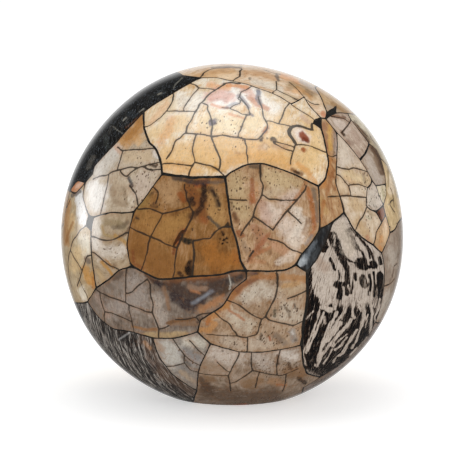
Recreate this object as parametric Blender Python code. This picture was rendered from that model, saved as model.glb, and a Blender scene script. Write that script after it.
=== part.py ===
"""A polished mosaic ball: curved slabs of petrified wood set in black resin, ground flat underneath.

The joints between the slabs are drawn once, on a flat picture of the ball's front, and then wrapped
onto the ball. A slab's outline is the chain of the joints around it, drawn in by half a joint.
"""

import math
import random

import bmesh
import bpy
from mathutils import Vector
from mathutils.geometry import delaunay_2d_cdt

# Driving dimensions, in metres
BALL_DIAMETER = 0.300
FLAT_DIAMETER = 0.118
SLAB_THICKNESS = 0.018
STONE_UNDER_FLAT = 0.006
JOINT_WIDTH = 0.0015
SEATING_GAP = 0.0003
SWELL_HEIGHT = 0.0013
SWELL_WIDTH = math.radians(24.0)
SWELL_FADE_ABOVE_FLAT = 0.5

# The picture that the joints are drawn on
VIEW_DISTANCE_IN_RADII = 13.3
VIEW_ELEVATION = math.radians(8.0)
OUTLINE_RADIUS_IN_PICTURE = 100.0
HIDDEN_JOINT_STEP = math.radians(16.0)
HIDDEN_JOINT_SWAY = 0.07
SWAY_SEED = 12

# How finely the round faces are cut into triangles
SLAB_FACET = 0.026
FLAT_RIM_STEP = math.radians(20.0)
CLEAR_OF_OUTLINE = 0.55
RIM_CLEAR_OF_OUTLINE = 0.17
NEARLY_STRAIGHT = 0.999
HALVINGS = 40
CLOSE_ENOUGH = 1e-7

BALL_RADIUS = BALL_DIAMETER / 2
FLAT_DEPTH = math.sqrt(BALL_RADIUS ** 2 - (FLAT_DIAMETER / 2) ** 2)
FLAT_ANGLE = math.asin(FLAT_DIAMETER / BALL_DIAMETER)
LONGEST_STEP = SLAB_FACET / BALL_RADIUS

# The view's own axes: towards the eye, to the picture's right and to its top
TOWARDS_EYE = Vector((0.0, -math.cos(VIEW_ELEVATION), math.sin(VIEW_ELEVATION)))
PICTURE_RIGHT = Vector((1.0, 0.0, 0.0))
PICTURE_UP = Vector((0.0, math.sin(VIEW_ELEVATION), math.cos(VIEW_ELEVATION)))

# Corners where joints meet on the front: hundredths of the outline's radius, right and up
FRONT_CORNERS = {
    "tip of black": (-18.0, 91.8),
    "left of cream": (-51.5, 72.0),
    "left shoulder": (-85.5, 31.5),
    "chip tip": (-94.6, 26.3),
    "resin by strip top": (51.4, 68.6),
    "resin by strip foot": (51.4, 62.6),
    "strip top": (54.0, 68.2),
    "shoulder resin left": (54.9, 71.5),
    "shoulder resin right": (59.7, 71.4),
    "shoulder fork": (66.7, 70.9),
    "strip elbow": (60.3, 60.3),
    "mauve fork": (74.0, 44.2),
    "mauve tip": (79.2, 53.7),
    "khaki top": (86.0, 45.0),
    "sliver top right": (89.0, 30.0),
    "sliver top left": (83.3, 29.3),
    "speckled top": (80.9, 32.5),
    "sliver foot": (87.7, 18.0),
    "wedge right": (89.0, 12.2),
    "wedge foot": (86.8, 8.0),
    "wedge left": (83.5, 14.2),
    "khaki foot": (91.6, 2.0),
    "low tan foot": (86.8, -9.8),
    "zebra shoulder": (81.7, -5.3),
    "zebra tip": (64.7, 13.5),
    "zebra heel": (83.0, -50.0),
    "zebra foot": (51.0, -81.7),
    "zebra left foot": (40.0, -63.2),
    "plug foot right": (43.7, -20.3),
    "plug foot left": (37.0, -16.6),
    "plug top left": (50.7, 4.0),
    "plug top right": (58.0, 8.0),
    "strip foot left": (49.8, 29.0),
    "amber top right": (-4.2, 34.3),
    "amber foot right": (7.8, -20.3),
    "amber top left": (-41.0, 36.0),
    "amber left": (-57.0, 14.3),
    "amber foot left": (-58.3, -17.5),
    "left resin right": (-80.7, 11.0),
    "left resin top": (-83.5, 12.0),
    "left resin foot": (-82.0, 3.6),
    "far left foot": (-79.2, -30.0),
    "streaked top": (-84.0, -38.3),
    "beige top left": (-46.5, -59.0),
    "beige top right": (-20.3, -55.7),
    "beige right": (-12.8, -62.4),
    "beige foot": (-20.7, -89.5),
}

# Corners behind the outline, in degrees: how far round from the eye, and which way, counted
# from the picture's right towards its top
BACK_CORNERS = {
    "rim right": (105, 4),
    "rim khaki": (99, 18),
    "rim shoulder": (113, 44),
    "rim crown right": (104, 63),
    "rim crown left": (116, 104),
    "rim black": (107, 161),
    "rim far left": (118, 183),
    "rim streaked": (106, 207),
    "rim low left": (120, 252),
    "rim low right": (112, 296),
    "rim lower right": (110, 329),
    "ring right": (119, 345),
    "ring upper right": (124, 29),
    "ring crown": (121, 83),
    "ring upper left": (123, 131),
    "ring left": (126, 172),
    "ring lower left": (117, 229),
    "ring low": (127, 275),
    "inner right": (150, 352),
    "inner upper right": (146, 37),
    "inner crown": (152, 92),
    "inner upper left": (147, 137),
    "inner left": (153, 186),
    "inner lower left": (145, 236),
    "inner low": (151, 291),
    "back middle": (176, 60),
}

# Each joint once: the two pieces beside it, its corners with the bends between them, its width
# in joint widths. A side named "resin" is a patch with no slab in it.
JOINTS = [
    ("slab_black_streaked", "slab_tan_crown", "tip of black",
     [(-23.3, 92.3), (-29.0, 92.8), (-33.0, 94.4)], "rim crown left", 1.0),
    ("slab_black_streaked", "slab_cream_top", "tip of black",
     [(-27.0, 87.2), (-36.0, 81.8), (-45.0, 76.7)], "left of cream", 1.0),
    ("slab_black_streaked", "slab_pale_left", "left of cream",
     [(-58.0, 65.0), (-68.0, 53.5), (-76.0, 45.5), (-80.3, 40.5), (-81.2, 36.0)], "left shoulder", 1.1),
    ("slab_black_streaked", "slab_orange_chip", "left shoulder",
     [(-90.3, 32.3)], "chip tip", 1.0),
    ("slab_orange_chip", "slab_far_left", "left shoulder",
     [(-87.5, 28.7), (-91.5, 24.6)], "chip tip", 1.0),
    ("slab_black_streaked", "slab_back_left_rim", "chip tip", [], "rim black", 1.0),
    ("slab_far_left", "slab_back_left_rim", "chip tip",
     [(-96.6, 17.0), (-98.6, 7.0)], "rim far left", 1.0),
    ("slab_tan_crown", "slab_cream_top", "tip of black",
     [(-8.3, 91.8), (-1.7, 90.2), (7.7, 88.5), (15.0, 85.7), (23.3, 83.0), (29.7, 79.7), (34.0, 76.7),
      (38.3, 78.6), (41.7, 80.9), (44.3, 75.7)], "resin by strip top", 0.9),
    ("slab_tan_crown", "slab_rust_strip", "resin by strip top", [], "strip top", 1.0),
    ("slab_tan_crown", "resin", "strip top", [], "shoulder resin left", 1.0),
    ("slab_tan_crown", "slab_tan_shoulder", "shoulder resin left",
     [(53.2, 76.0), (51.2, 80.8), (47.7, 86.2)], "rim crown right", 1.0),
    ("slab_tan_shoulder", "resin", "shoulder resin left",
     [(59.9, 75.2)], "shoulder resin right", 1.0),
    ("slab_mauve_upper", "resin", "shoulder resin right", [(57.0, 70.1)], "strip top", 1.0),
    ("slab_tan_shoulder", "slab_mauve_upper", "shoulder resin right", [], "shoulder fork", 0.8),
    ("slab_tan_shoulder", "slab_pale_shoulder", "shoulder fork", [(70.4, 70.3)], "rim shoulder", 0.8),
    ("slab_cream_top", "resin", "resin by strip top",
     [(47.6, 67.4), (46.9, 65.3)], "resin by strip foot", 1.0),
    ("slab_rust_strip", "resin", "resin by strip foot", [], "resin by strip top", 1.0),
    ("slab_cream_top", "slab_rust_strip", "resin by strip foot",
     [(52.8, 57.5), (54.3, 51.0), (55.9, 43.0), (53.9, 32.8)], "strip foot left", 1.2),
    ("slab_rust_strip", "slab_pink_centre", "strip foot left", [(50.6, 14.0)], "plug top left", 0.9),
    ("slab_rust_strip", "slab_black_plug", "plug top left", [(54.3, 6.2)], "plug top right", 1.0),
    ("slab_rust_strip", "slab_zebra", "plug top right", [(60.7, 10.4)], "zebra tip", 1.2),
    ("slab_rust_strip", "slab_tan_right", "zebra tip",
     [(63.3, 20.0), (60.0, 30.0), (60.1, 38.5), (60.7, 48.0)], "strip elbow", 0.9),
    ("slab_rust_strip", "slab_mauve_upper", "strip elbow", [], "strip top", 0.9),
    ("slab_mauve_upper", "slab_tan_right", "strip elbow", [(66.7, 53.6)], "mauve fork", 0.8),
    ("slab_mauve_upper", "slab_brown_shoulder", "mauve fork", [(77.3, 48.3)], "mauve tip", 1.4),
    ("slab_mauve_upper", "slab_pale_shoulder", "mauve tip",
     [(74.0, 60.3), (68.8, 67.2)], "shoulder fork", 1.2),
    ("slab_brown_shoulder", "slab_pale_shoulder", "mauve tip", [(83.6, 50.0)], "khaki top", 1.0),
    ("slab_brown_shoulder", "slab_khaki_rim", "khaki top", [(88.3, 37.5)], "sliver top right", 0.8),
    ("slab_brown_shoulder", "slab_cream_sliver", "sliver top right", [], "sliver top left", 0.8),
    ("slab_brown_shoulder", "slab_speckled", "sliver top left", [], "speckled top", 1.0),
    ("slab_brown_shoulder", "slab_tan_right", "speckled top", [(79.0, 36.7)], "mauve fork", 0.8),
    ("slab_khaki_rim", "slab_pale_shoulder", "khaki top",
     [(89.8, 41.3), (93.6, 31.5), (96.6, 22.5)], "rim khaki", 0.8),
    ("slab_khaki_rim", "slab_cream_sliver", "sliver top right", [(89.5, 24.0)], "sliver foot", 0.8),
    ("slab_speckled", "slab_cream_sliver", "sliver foot", [(85.6, 22.7)], "sliver top left", 0.8),
    ("slab_khaki_rim", "slab_red_wedge", "sliver foot", [], "wedge right", 1.0),
    ("slab_khaki_rim", "slab_tan_low", "wedge right", [(90.8, 7.0)], "khaki foot", 0.8),
    ("slab_khaki_rim", "slab_mauve_rim", "khaki foot",
     [(94.6, 3.6), (96.6, 8.0), (98.9, 11.0)], "rim right", 1.2),
    ("slab_speckled", "slab_tan_right", "speckled top",
     [(80.3, 29.6), (78.2, 28.2), (77.5, 18.0), (79.6, 15.3)], "wedge left", 0.9),
    ("slab_speckled", "slab_red_wedge", "wedge left", [], "sliver foot", 0.9),
    ("slab_red_wedge", "slab_tan_right", "wedge left", [], "wedge foot", 0.9),
    ("slab_red_wedge", "slab_tan_low", "wedge foot", [], "wedge right", 0.9),
    ("slab_tan_right", "slab_tan_low", "wedge foot", [(83.3, 2.2), (82.9, -2.6)], "zebra shoulder", 0.8),
    ("slab_tan_low", "slab_mauve_rim", "khaki foot", [(90.6, -1.5)], "low tan foot", 0.8),
    ("slab_tan_low", "slab_zebra", "low tan foot", [], "zebra shoulder", 1.0),
    ("slab_tan_right", "slab_zebra", "zebra shoulder",
     [(74.5, -0.5), (69.8, 4.3), (66.6, 10.8)], "zebra tip", 1.1),
    ("slab_mauve_rim", "slab_zebra", "low tan foot",
     [(88.2, -17.0), (88.0, -30.0), (86.0, -41.0)], "zebra heel", 0.9),
    ("slab_mauve_rim", "slab_rim_lower", "zebra heel", [(86.2, -50.3)], "rim lower right", 0.9),
    ("slab_rim_lower", "slab_zebra", "zebra heel",
     [(78.0, -59.5), (69.0, -69.0), (61.0, -75.8)], "zebra foot", 0.9),
    ("slab_zebra", "slab_brown_lower", "zebra foot", [(43.0, -79.8), (41.0, -74.0)], "zebra left foot", 1.1),
    ("slab_zebra", "slab_cream_lower", "zebra left foot",
     [(41.2, -51.0), (43.3, -38.0), (43.4, -27.0)], "plug foot right", 1.9),
    ("slab_black_plug", "slab_cream_lower", "plug foot right", [(40.0, -18.8)], "plug foot left", 1.0),
    ("slab_black_plug", "slab_pink_centre", "plug foot left",
     [(39.7, -11.0), (44.7, -5.7)], "plug top left", 1.0),
    ("slab_black_plug", "slab_zebra", "plug foot right",
     [(48.2, -14.5), (54.5, -2.3)], "plug top right", 1.0),
    ("slab_pink_centre", "slab_cream_lower", "plug foot left", [(29.5, -20.1)], "amber foot right", 1.1),
    ("slab_pink_centre", "slab_amber", "amber foot right",
     [(4.6, -14.5), (2.7, -4.0), (-0.9, 8.0), (-2.5, 21.0)], "amber top right", 1.3),
    ("slab_cream_top", "slab_pink_centre", "amber top right",
     [(-1.7, 36.8), (9.7, 42.2), (18.0, 42.3), (33.3, 37.0)], "strip foot left", 1.1),
    ("slab_cream_top", "slab_amber", "amber top right", [(-23.3, 34.0)], "amber top left", 1.7),
    ("slab_cream_top", "slab_pale_left", "amber top left",
     [(-41.6, 43.0), (-43.7, 49.7), (-48.5, 54.8), (-51.3, 62.5)], "left of cream", 1.4),
    ("slab_amber", "slab_pale_left", "amber left", [(-50.0, 23.2)], "amber top left", 0.9),
    ("slab_amber", "slab_swirl_left", "amber left",
     [(-59.8, 4.5), (-61.4, -4.5), (-60.0, -14.0)], "amber foot left", 0.9),
    ("slab_amber", "slab_grey_lower", "amber foot left",
     [(-50.0, -21.8), (-43.5, -25.0), (-36.0, -25.0), (-22.0, -23.2), (-5.0, -22.3), (-0.5, -20.0)],
     "amber foot right", 1.2),
    ("slab_pale_left", "slab_swirl_left", "amber left",
     [(-63.3, 13.2), (-71.0, 13.9)], "left resin right", 0.9),
    ("slab_pale_left", "resin", "left resin right", [], "left resin top", 1.0),
    ("slab_far_left", "resin", "left resin top", [(-85.3, 6.0)], "left resin foot", 1.0),
    ("slab_swirl_left", "resin", "left resin foot", [], "left resin right", 1.0),
    ("slab_pale_left", "slab_far_left", "left resin top", [(-87.2, 23.5)], "left shoulder", 1.0),
    ("slab_far_left", "slab_swirl_left", "left resin foot",
     [(-82.1, -8.0), (-80.4, -22.0)], "far left foot", 1.3),
    ("slab_swirl_left", "slab_grey_lower", "far left foot",
     [(-72.5, -25.8), (-65.7, -19.5)], "amber foot left", 1.0),
    ("slab_far_left", "slab_grey_lower", "far left foot", [], "streaked top", 0.8),
    ("slab_far_left", "slab_streaked_lower", "streaked top", [(-91.8, -38.6)], "rim streaked", 0.9),
    ("slab_grey_lower", "slab_streaked_lower", "streaked top",
     [(-78.0, -47.0), (-69.0, -54.0), (-58.5, -55.2)], "beige top left", 1.1),
    ("slab_grey_lower", "slab_beige_lower", "beige top left", [(-34.0, -59.4)], "beige top right", 0.9),
    ("slab_grey_lower", "slab_cream_lower", "beige top right",
     [(-18.7, -48.5), (-5.3, -40.3), (-0.5, -31.3), (8.0, -25.0)], "amber foot right", 0.9),
    ("slab_beige_lower", "slab_cream_lower", "beige top right", [], "beige right", 1.0),
    ("slab_cream_lower", "slab_brown_lower", "beige right",
     [(3.0, -67.0), (18.0, -67.3)], "zebra left foot", 0.9),
    ("slab_beige_lower", "slab_brown_lower", "beige right", [(-19.6, -77.0)], "beige foot", 0.8),
    ("slab_streaked_lower", "slab_beige_lower", "beige top left",
     [(-42.7, -70.0), (-34.0, -81.0)], "beige foot", 1.0),
    ("slab_streaked_lower", "slab_brown_lower", "beige foot", [], "rim low left", 1.0),
    ("slab_brown_lower", "slab_rim_lower", "zebra foot", [(41.0, -88.0)], "rim low right", 1.0),
    ("slab_mauve_rim", "slab_back_right", "rim right", [], "ring right", 1.0),
    ("slab_mauve_rim", "slab_back_lower_right", "ring right", [], "rim lower right", 1.0),
    ("slab_khaki_rim", "slab_back_right", "rim khaki", [], "rim right", 1.0),
    ("slab_pale_shoulder", "slab_back_right", "ring upper right", [], "rim khaki", 1.0),
    ("slab_pale_shoulder", "slab_back_upper_right", "rim shoulder", [], "ring upper right", 1.0),
    ("slab_tan_shoulder", "slab_back_upper_right", "rim crown right", [], "rim shoulder", 1.0),
    ("slab_tan_crown", "slab_back_upper_right", "ring crown", [], "rim crown right", 1.0),
    ("slab_tan_crown", "slab_back_crown", "rim crown left", [], "ring crown", 1.0),
    ("slab_black_streaked", "slab_back_crown", "ring upper left", [], "rim crown left", 1.0),
    ("slab_black_streaked", "slab_back_upper_left", "rim black", [], "ring upper left", 1.0),
    ("slab_back_left_rim", "slab_back_upper_left", "ring left", [], "rim black", 1.0),
    ("slab_back_left_rim", "slab_back_left", "rim far left", [], "ring left", 1.0),
    ("slab_far_left", "slab_back_left", "rim streaked", [], "rim far left", 1.0),
    ("slab_streaked_lower", "slab_back_left", "ring lower left", [], "rim streaked", 1.0),
    ("slab_streaked_lower", "slab_back_lower_left", "rim low left", [], "ring lower left", 1.0),
    ("slab_brown_lower", "slab_back_lower_left", "ring low", [], "rim low left", 1.0),
    ("slab_brown_lower", "slab_back_lower_right", "rim low right", [], "ring low", 1.0),
    ("slab_rim_lower", "slab_back_lower_right", "rim lower right", [], "rim low right", 1.0),
    ("slab_back_right", "slab_back_lower_right", "ring right", [], "inner right", 1.0),
    ("slab_back_right", "slab_back_upper_right", "ring upper right", [], "inner upper right", 1.0),
    ("slab_back_crown", "slab_back_upper_right", "ring crown", [], "inner crown", 1.0),
    ("slab_back_crown", "slab_back_upper_left", "ring upper left", [], "inner upper left", 1.0),
    ("slab_back_left", "slab_back_upper_left", "ring left", [], "inner left", 1.0),
    ("slab_back_left", "slab_back_lower_left", "ring lower left", [], "inner lower left", 1.0),
    ("slab_back_lower_left", "slab_back_lower_right", "ring low", [], "inner low", 1.0),
    ("slab_back_right", "slab_back_centre_right", "inner right", [], "inner upper right", 1.0),
    ("slab_back_upper_right", "slab_back_centre_right", "inner upper right", [], "inner crown", 1.0),
    ("slab_back_crown", "slab_back_centre_left", "inner crown", [], "inner upper left", 1.0),
    ("slab_back_upper_left", "slab_back_centre_left", "inner upper left", [], "inner left", 1.0),
    ("slab_back_left", "slab_back_centre_low", "inner left", [], "inner lower left", 1.0),
    ("slab_back_lower_left", "slab_back_centre_low", "inner lower left", [], "inner low", 1.0),
    ("slab_back_lower_right", "slab_back_centre_low", "inner low", [], "inner right", 1.0),
    ("slab_back_centre_right", "slab_back_centre_left", "inner crown", [], "back middle", 1.0),
    ("slab_back_centre_left", "slab_back_centre_low", "inner left", [], "back middle", 1.0),
    ("slab_back_centre_low", "slab_back_centre_right", "inner right", [], "back middle", 1.0),
]

# Where hand grinding left the ball a little full (+) or shy (-): degrees round the outline, share
SWELLS = [
    (5, -1.2),
    (40, 0.7),
    (76, -0.5),
    (110, 1.1),
    (140, -0.9),
    (192, -0.6),
    (229, 0.8),
]

# Each slab's stone: base colour and roughness
STONES = {
    "slab_black_streaked": ((0.035, 0.032, 0.030), 0.12),
    "slab_cream_top": ((0.76, 0.58, 0.36), 0.14),
    "slab_tan_crown": ((0.60, 0.42, 0.24), 0.15),
    "slab_tan_shoulder": ((0.66, 0.50, 0.34), 0.15),
    "slab_mauve_upper": ((0.52, 0.42, 0.37), 0.15),
    "slab_pale_shoulder": ((0.62, 0.57, 0.47), 0.15),
    "slab_brown_shoulder": ((0.40, 0.31, 0.25), 0.15),
    "slab_rust_strip": ((0.47, 0.24, 0.10), 0.14),
    "slab_tan_right": ((0.61, 0.46, 0.30), 0.15),
    "slab_speckled": ((0.55, 0.45, 0.38), 0.18),
    "slab_cream_sliver": ((0.60, 0.55, 0.45), 0.15),
    "slab_red_wedge": ((0.10, 0.03, 0.01), 0.14),
    "slab_khaki_rim": ((0.60, 0.52, 0.38), 0.15),
    "slab_tan_low": ((0.60, 0.42, 0.24), 0.15),
    "slab_mauve_rim": ((0.40, 0.32, 0.27), 0.15),
    "slab_zebra": ((0.50, 0.43, 0.34), 0.14),
    "slab_black_plug": ((0.02, 0.02, 0.022), 0.08),
    "slab_pink_centre": ((0.58, 0.46, 0.37), 0.15),
    "slab_amber": ((0.39, 0.20, 0.06), 0.14),
    "slab_pale_left": ((0.55, 0.43, 0.30), 0.15),
    "slab_orange_chip": ((0.62, 0.38, 0.22), 0.15),
    "slab_far_left": ((0.60, 0.47, 0.33), 0.15),
    "slab_swirl_left": ((0.58, 0.46, 0.33), 0.15),
    "slab_grey_lower": ((0.33, 0.27, 0.22), 0.15),
    "slab_cream_lower": ((0.56, 0.42, 0.28), 0.15),
    "slab_beige_lower": ((0.44, 0.38, 0.31), 0.15),
    "slab_brown_lower": ((0.30, 0.23, 0.17), 0.15),
    "slab_streaked_lower": ((0.20, 0.17, 0.15), 0.15),
    "slab_rim_lower": ((0.30, 0.25, 0.21), 0.15),
    "slab_back_left_rim": ((0.52, 0.42, 0.32), 0.15),
    "slab_back_right": ((0.56, 0.44, 0.30), 0.15),
    "slab_back_upper_right": ((0.44, 0.34, 0.27), 0.15),
    "slab_back_crown": ((0.66, 0.50, 0.31), 0.15),
    "slab_back_upper_left": ((0.36, 0.30, 0.25), 0.15),
    "slab_back_left": ((0.60, 0.50, 0.37), 0.15),
    "slab_back_lower_left": ((0.45, 0.24, 0.09), 0.15),
    "slab_back_lower_right": ((0.50, 0.42, 0.33), 0.15),
    "slab_back_centre_right": ((0.68, 0.53, 0.35), 0.15),
    "slab_back_centre_left": ((0.16, 0.14, 0.12), 0.15),
    "slab_back_centre_low": ((0.42, 0.35, 0.29), 0.15),
}
RESIN_COLOUR = (0.018, 0.016, 0.015)
RESIN_ROUGHNESS = 0.10


def seen_from_eye(angle, way):
    """The direction from the ball's centre at this angle round from the eye, this way in the picture."""
    across = PICTURE_RIGHT * math.cos(way) + PICTURE_UP * math.sin(way)
    return TOWARDS_EYE * math.cos(angle) + across * math.sin(angle)


def front_direction(right, up):
    """The direction of a point drawn on the picture of the ball's front."""
    share = min(math.hypot(right, up) / OUTLINE_RADIUS_IN_PICTURE, 1.0)
    outline_angle = math.asin(1.0 / VIEW_DISTANCE_IN_RADII)
    ray = math.atan(share * math.tan(outline_angle))
    angle = math.asin(min(VIEW_DISTANCE_IN_RADII * math.sin(ray), 1.0)) - ray
    return seen_from_eye(angle, math.atan2(up, right))


def corner_direction(name):
    """The direction of a named corner, on the front or behind the outline."""
    if name in FRONT_CORNERS:
        return front_direction(*FRONT_CORNERS[name])
    angle, way = BACK_CORNERS[name]
    return seen_from_eye(math.radians(angle), math.radians(way))


def ball_surface(direction):
    """How far the ground surface lies from the ball's centre in this direction."""
    swell = 0.0
    for way, share in SWELLS:
        away = direction.angle(seen_from_eye(math.pi / 2, math.radians(way)))
        swell += share * math.exp(-(away / SWELL_WIDTH) ** 2)
    fade = min(max((direction.z + math.cos(FLAT_ANGLE)) / SWELL_FADE_ABOVE_FLAT, 0.0), 1.0)
    radius = BALL_RADIUS + SWELL_HEIGHT * swell * fade
    if direction.z < 0.0:
        radius = min(radius, FLAT_DEPTH / -direction.z)
    return radius


def slab_underside(direction):
    """How far a slab's underside lies from the ball's centre in this direction."""
    radius = BALL_RADIUS - SLAB_THICKNESS
    if direction.z < 0.0:
        radius = min(radius, (FLAT_DEPTH - STONE_UNDER_FLAT) / -direction.z)
    return radius


def pocket_floor(direction):
    """How far the resin under a slab lies from the ball's centre in this direction."""
    return slab_underside(direction) - SEATING_GAP


def between(start, end, share):
    """The direction that lies this share of the way from one direction to another."""
    return start.slerp(end, share)


def swayed(start, end, rng):
    """A joint behind the outline, from start to end, that wanders a little to either side."""
    steps = max(1, round(start.angle(end) / HIDDEN_JOINT_STEP))
    across = start.cross(end).normalized()
    points = [start]
    for step in range(1, steps):
        side = rng.uniform(-1.0, 1.0) * HIDDEN_JOINT_SWAY * start.angle(end)
        points.append((between(start, end, step / steps) + across * side).normalized())
    return points + [end]


def split_long_steps(points):
    """The same line with points added wherever a step is longer than a facet."""
    result = [points[0]]
    for start, end in zip(points, points[1:]):
        steps = max(1, math.ceil(start.angle(end) / LONGEST_STEP))
        result += [between(start, end, step / steps) for step in range(1, steps + 1)]
    return result


def split_at_flat(points):
    """The same line with a point added wherever it crosses the flat's rim."""
    rim_height = -math.cos(FLAT_ANGLE)
    result = [points[0]]
    for start, end in zip(points, points[1:]):
        if (start.z - rim_height) * (end.z - rim_height) < 0.0:
            low, high = 0.0, 1.0
            for _ in range(HALVINGS):
                middle = (low + high) / 2
                if (between(start, end, middle).z - rim_height) * (start.z - rim_height) > 0.0:
                    low = middle
                else:
                    high = middle
            result.append(between(start, end, low))
        result.append(end)
    return result


def joint_line(first, bends, last, rng):
    """All the points of one joint, as directions."""
    start = corner_direction(first)
    end = corner_direction(last)
    points = [start] + [front_direction(*bend) for bend in bends]
    if last in BACK_CORNERS:
        points = points[:-1] + swayed(points[-1], end, rng)
    else:
        points.append(end)
    return split_at_flat(split_long_steps(points))


def laid_out_joints():
    """Every joint with its points, keyed so that the pieces on both sides share them."""
    rng = random.Random(SWAY_SEED)
    joints = []
    for number, (left, right, first, bends, last, width) in enumerate(JOINTS):
        points = joint_line(first, bends, last, rng)
        keys = [first] + [(number, step) for step in range(1, len(points) - 1)] + [last]
        joints.append((left, right, list(zip(keys, points)), width * JOINT_WIDTH))
    return joints


def closed_chains(pieces):
    """Chains joints end to end into loops. Each piece is a run of (key, point) and a width."""
    loops = []
    left = list(pieces)
    while left:
        run, width = left.pop(0)
        loop = [(key, point, width) for key, point in run[:-1]]
        first, tail = run[0][0], run[-1][0]
        while tail != first:
            for candidate in left:
                run, width = candidate
                if run[-1][0] == tail:
                    run = run[::-1]
                if run[0][0] == tail:
                    break
            else:
                raise ValueError(f"no joint goes on from the corner {tail}")
            left.remove(candidate)
            loop += [(key, point, width) for key, point in run[:-1]]
            tail = run[-1][0]
        loops.append(loop)
    return loops


def middle_of(points):
    """The direction in the middle of an outline."""
    return sum(points, Vector((0.0, 0.0, 0.0))).normalized()


def anticlockwise(loop):
    """The loop turned so that its inside is on the left, seen from outside the ball."""
    points = [point for _, point, _ in loop]
    turn = sum((a.cross(b) for a, b in zip(points, points[1:] + points[:1])), Vector((0.0, 0.0, 0.0)))
    if turn.dot(middle_of(points)) > 0.0:
        return loop
    keys = [key for key, _, _ in loop][::-1]
    points = points[::-1]
    widths = [width for _, _, width in loop][::-1]
    widths = widths[1:] + widths[:1]
    return list(zip(keys, points, widths))


def drawn_in(loop, less):
    """The loop's outline moved in by half of each joint's width, less this much."""
    points = [point for _, point, _ in loop]
    result = []
    for index, point in enumerate(points):
        before = points[index - 1].cross(point).normalized()
        after = point.cross(points[(index + 1) % len(points)]).normalized()
        move_before = (loop[index - 1][2] / 2 - less) / BALL_RADIUS
        move_after = (loop[index][2] / 2 - less) / BALL_RADIUS
        turn = before.dot(after)
        if turn > NEARLY_STRAIGHT:
            shift = before * (move_before + move_after) / 2
        else:
            spread = 1.0 - turn * turn
            shift = before * ((move_before - turn * move_after) / spread)
            shift += after * ((move_after - turn * move_before) / spread)
        result.append((point + shift).normalized())
    return result


def flattened(points, middle):
    """Directions laid flat around a middle direction, keeping small shapes true."""
    across = middle.orthogonal().normalized()
    along = middle.cross(across)
    flat = []
    for point in points:
        scale = 2.0 * BALL_RADIUS / (1.0 + point.dot(middle))
        flat.append(Vector((point.dot(across) * scale, point.dot(along) * scale)))
    return flat


def rounded(flat, middle):
    """The direction of one point that was laid flat around the middle direction."""
    across = middle.orthogonal().normalized()
    along = middle.cross(across)
    half = flat / (2.0 * BALL_RADIUS)
    square = half.length_squared
    direction = (across * half.x + along * half.y) * 2.0 + middle * (1.0 - square)
    return direction.normalized()


def is_inside(point, outline):
    """Whether a flat point lies inside a flat outline."""
    inside = False
    for a, b in zip(outline, outline[1:] + outline[:1]):
        if (a.y > point.y) != (b.y > point.y):
            crossing = a.x + (point.y - a.y) / (b.y - a.y) * (b.x - a.x)
            inside ^= point.x < crossing
    return inside


def distance_to(point, outline):
    """How far a flat point lies from a flat outline."""
    nearest = math.inf
    for a, b in zip(outline, outline[1:] + outline[:1]):
        side = b - a
        share = min(max((point - a).dot(side) / side.length_squared, 0.0), 1.0)
        nearest = min(nearest, (point - a - side * share).length)
    return nearest


def flat_rim_points(outline, middle):
    """Points of the flat's rim that lie inside a slab, and which of them are neighbours."""
    steps = round(2.0 * math.pi / FLAT_RIM_STEP)
    kept = {}
    for step in range(steps):
        way = step * 2.0 * math.pi / steps
        level = math.sin(FLAT_ANGLE)
        direction = Vector((level * math.cos(way), level * math.sin(way), -math.cos(FLAT_ANGLE)))
        point = flattened([direction], middle)[0]
        if is_inside(point, outline) and distance_to(point, outline) > SLAB_FACET * RIM_CLEAR_OF_OUTLINE:
            kept[step] = point
    order = list(kept)
    pairs = []
    for step in order:
        following = (step + 1) % steps
        if following in kept:
            pairs.append((order.index(step), order.index(following)))
    return list(kept.values()), pairs


def inner_points(outline, taken):
    """Points spread evenly over the inside of a flat outline."""
    points = []
    clearance = SLAB_FACET * CLEAR_OF_OUTLINE
    reach = max(point.length for point in outline)
    rows = math.ceil(reach / SLAB_FACET) + 1
    for row in range(-rows, rows + 1):
        for column in range(-rows, rows + 1):
            point = Vector(((column + 0.5 * (row % 2)) * SLAB_FACET, row * SLAB_FACET * math.sqrt(0.75)))
            if not is_inside(point, outline) or distance_to(point, outline) < clearance:
                continue
            if all((point - other).length > clearance for other in taken):
                points.append(point)
    return points


def split_up(points, edges, count):
    """Triangles that fill the outline made by the first points, with a corner at every point."""
    net = delaunay_2d_cdt(points, edges, [list(range(count))], 1, CLOSE_ENOUGH, True)
    return [[net[3][corner][0] for corner in face] for face, inside in zip(net[2], net[5]) if inside]


def surface_net(outline):
    """Splits a slab's outline into triangles: all its points as directions, then the triangles."""
    middle = middle_of(outline)
    flat = flattened(outline, middle)
    count = len(flat)
    rim, pairs = flat_rim_points(flat, middle)
    edges = [(count + first, count + second) for first, second in pairs]
    points = flat + rim + inner_points(flat, rim)
    triangles = split_up(points, edges, count)
    directions = list(outline) + [rounded(point, middle) for point in points[count:]]
    return directions, triangles


def slab_mesh(name, directions, triangles):
    """A slab: its polished face drawn through to its underside along the ball's radii."""
    bm = bmesh.new()
    corners = [bm.verts.new(direction * ball_surface(direction)) for direction in directions]
    for triangle in triangles:
        bm.faces.new([corners[corner] for corner in triangle])
    drawn = bmesh.ops.extrude_face_region(bm, geom=bm.faces[:])
    for vert in [item for item in drawn["geom"] if isinstance(item, bmesh.types.BMVert)]:
        direction = vert.co.normalized()
        vert.co = direction * slab_underside(direction)
    bmesh.ops.recalc_face_normals(bm, faces=bm.faces[:])
    return finished_mesh(name, bm)


def finished_mesh(name, bm):
    """A mesh from a bmesh, cut into triangles."""
    bmesh.ops.triangulate(bm, faces=bm.faces[:])
    mesh = bpy.data.meshes.new(name)
    bm.to_mesh(mesh)
    bm.free()
    mesh.shade_flat()
    return mesh


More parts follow.
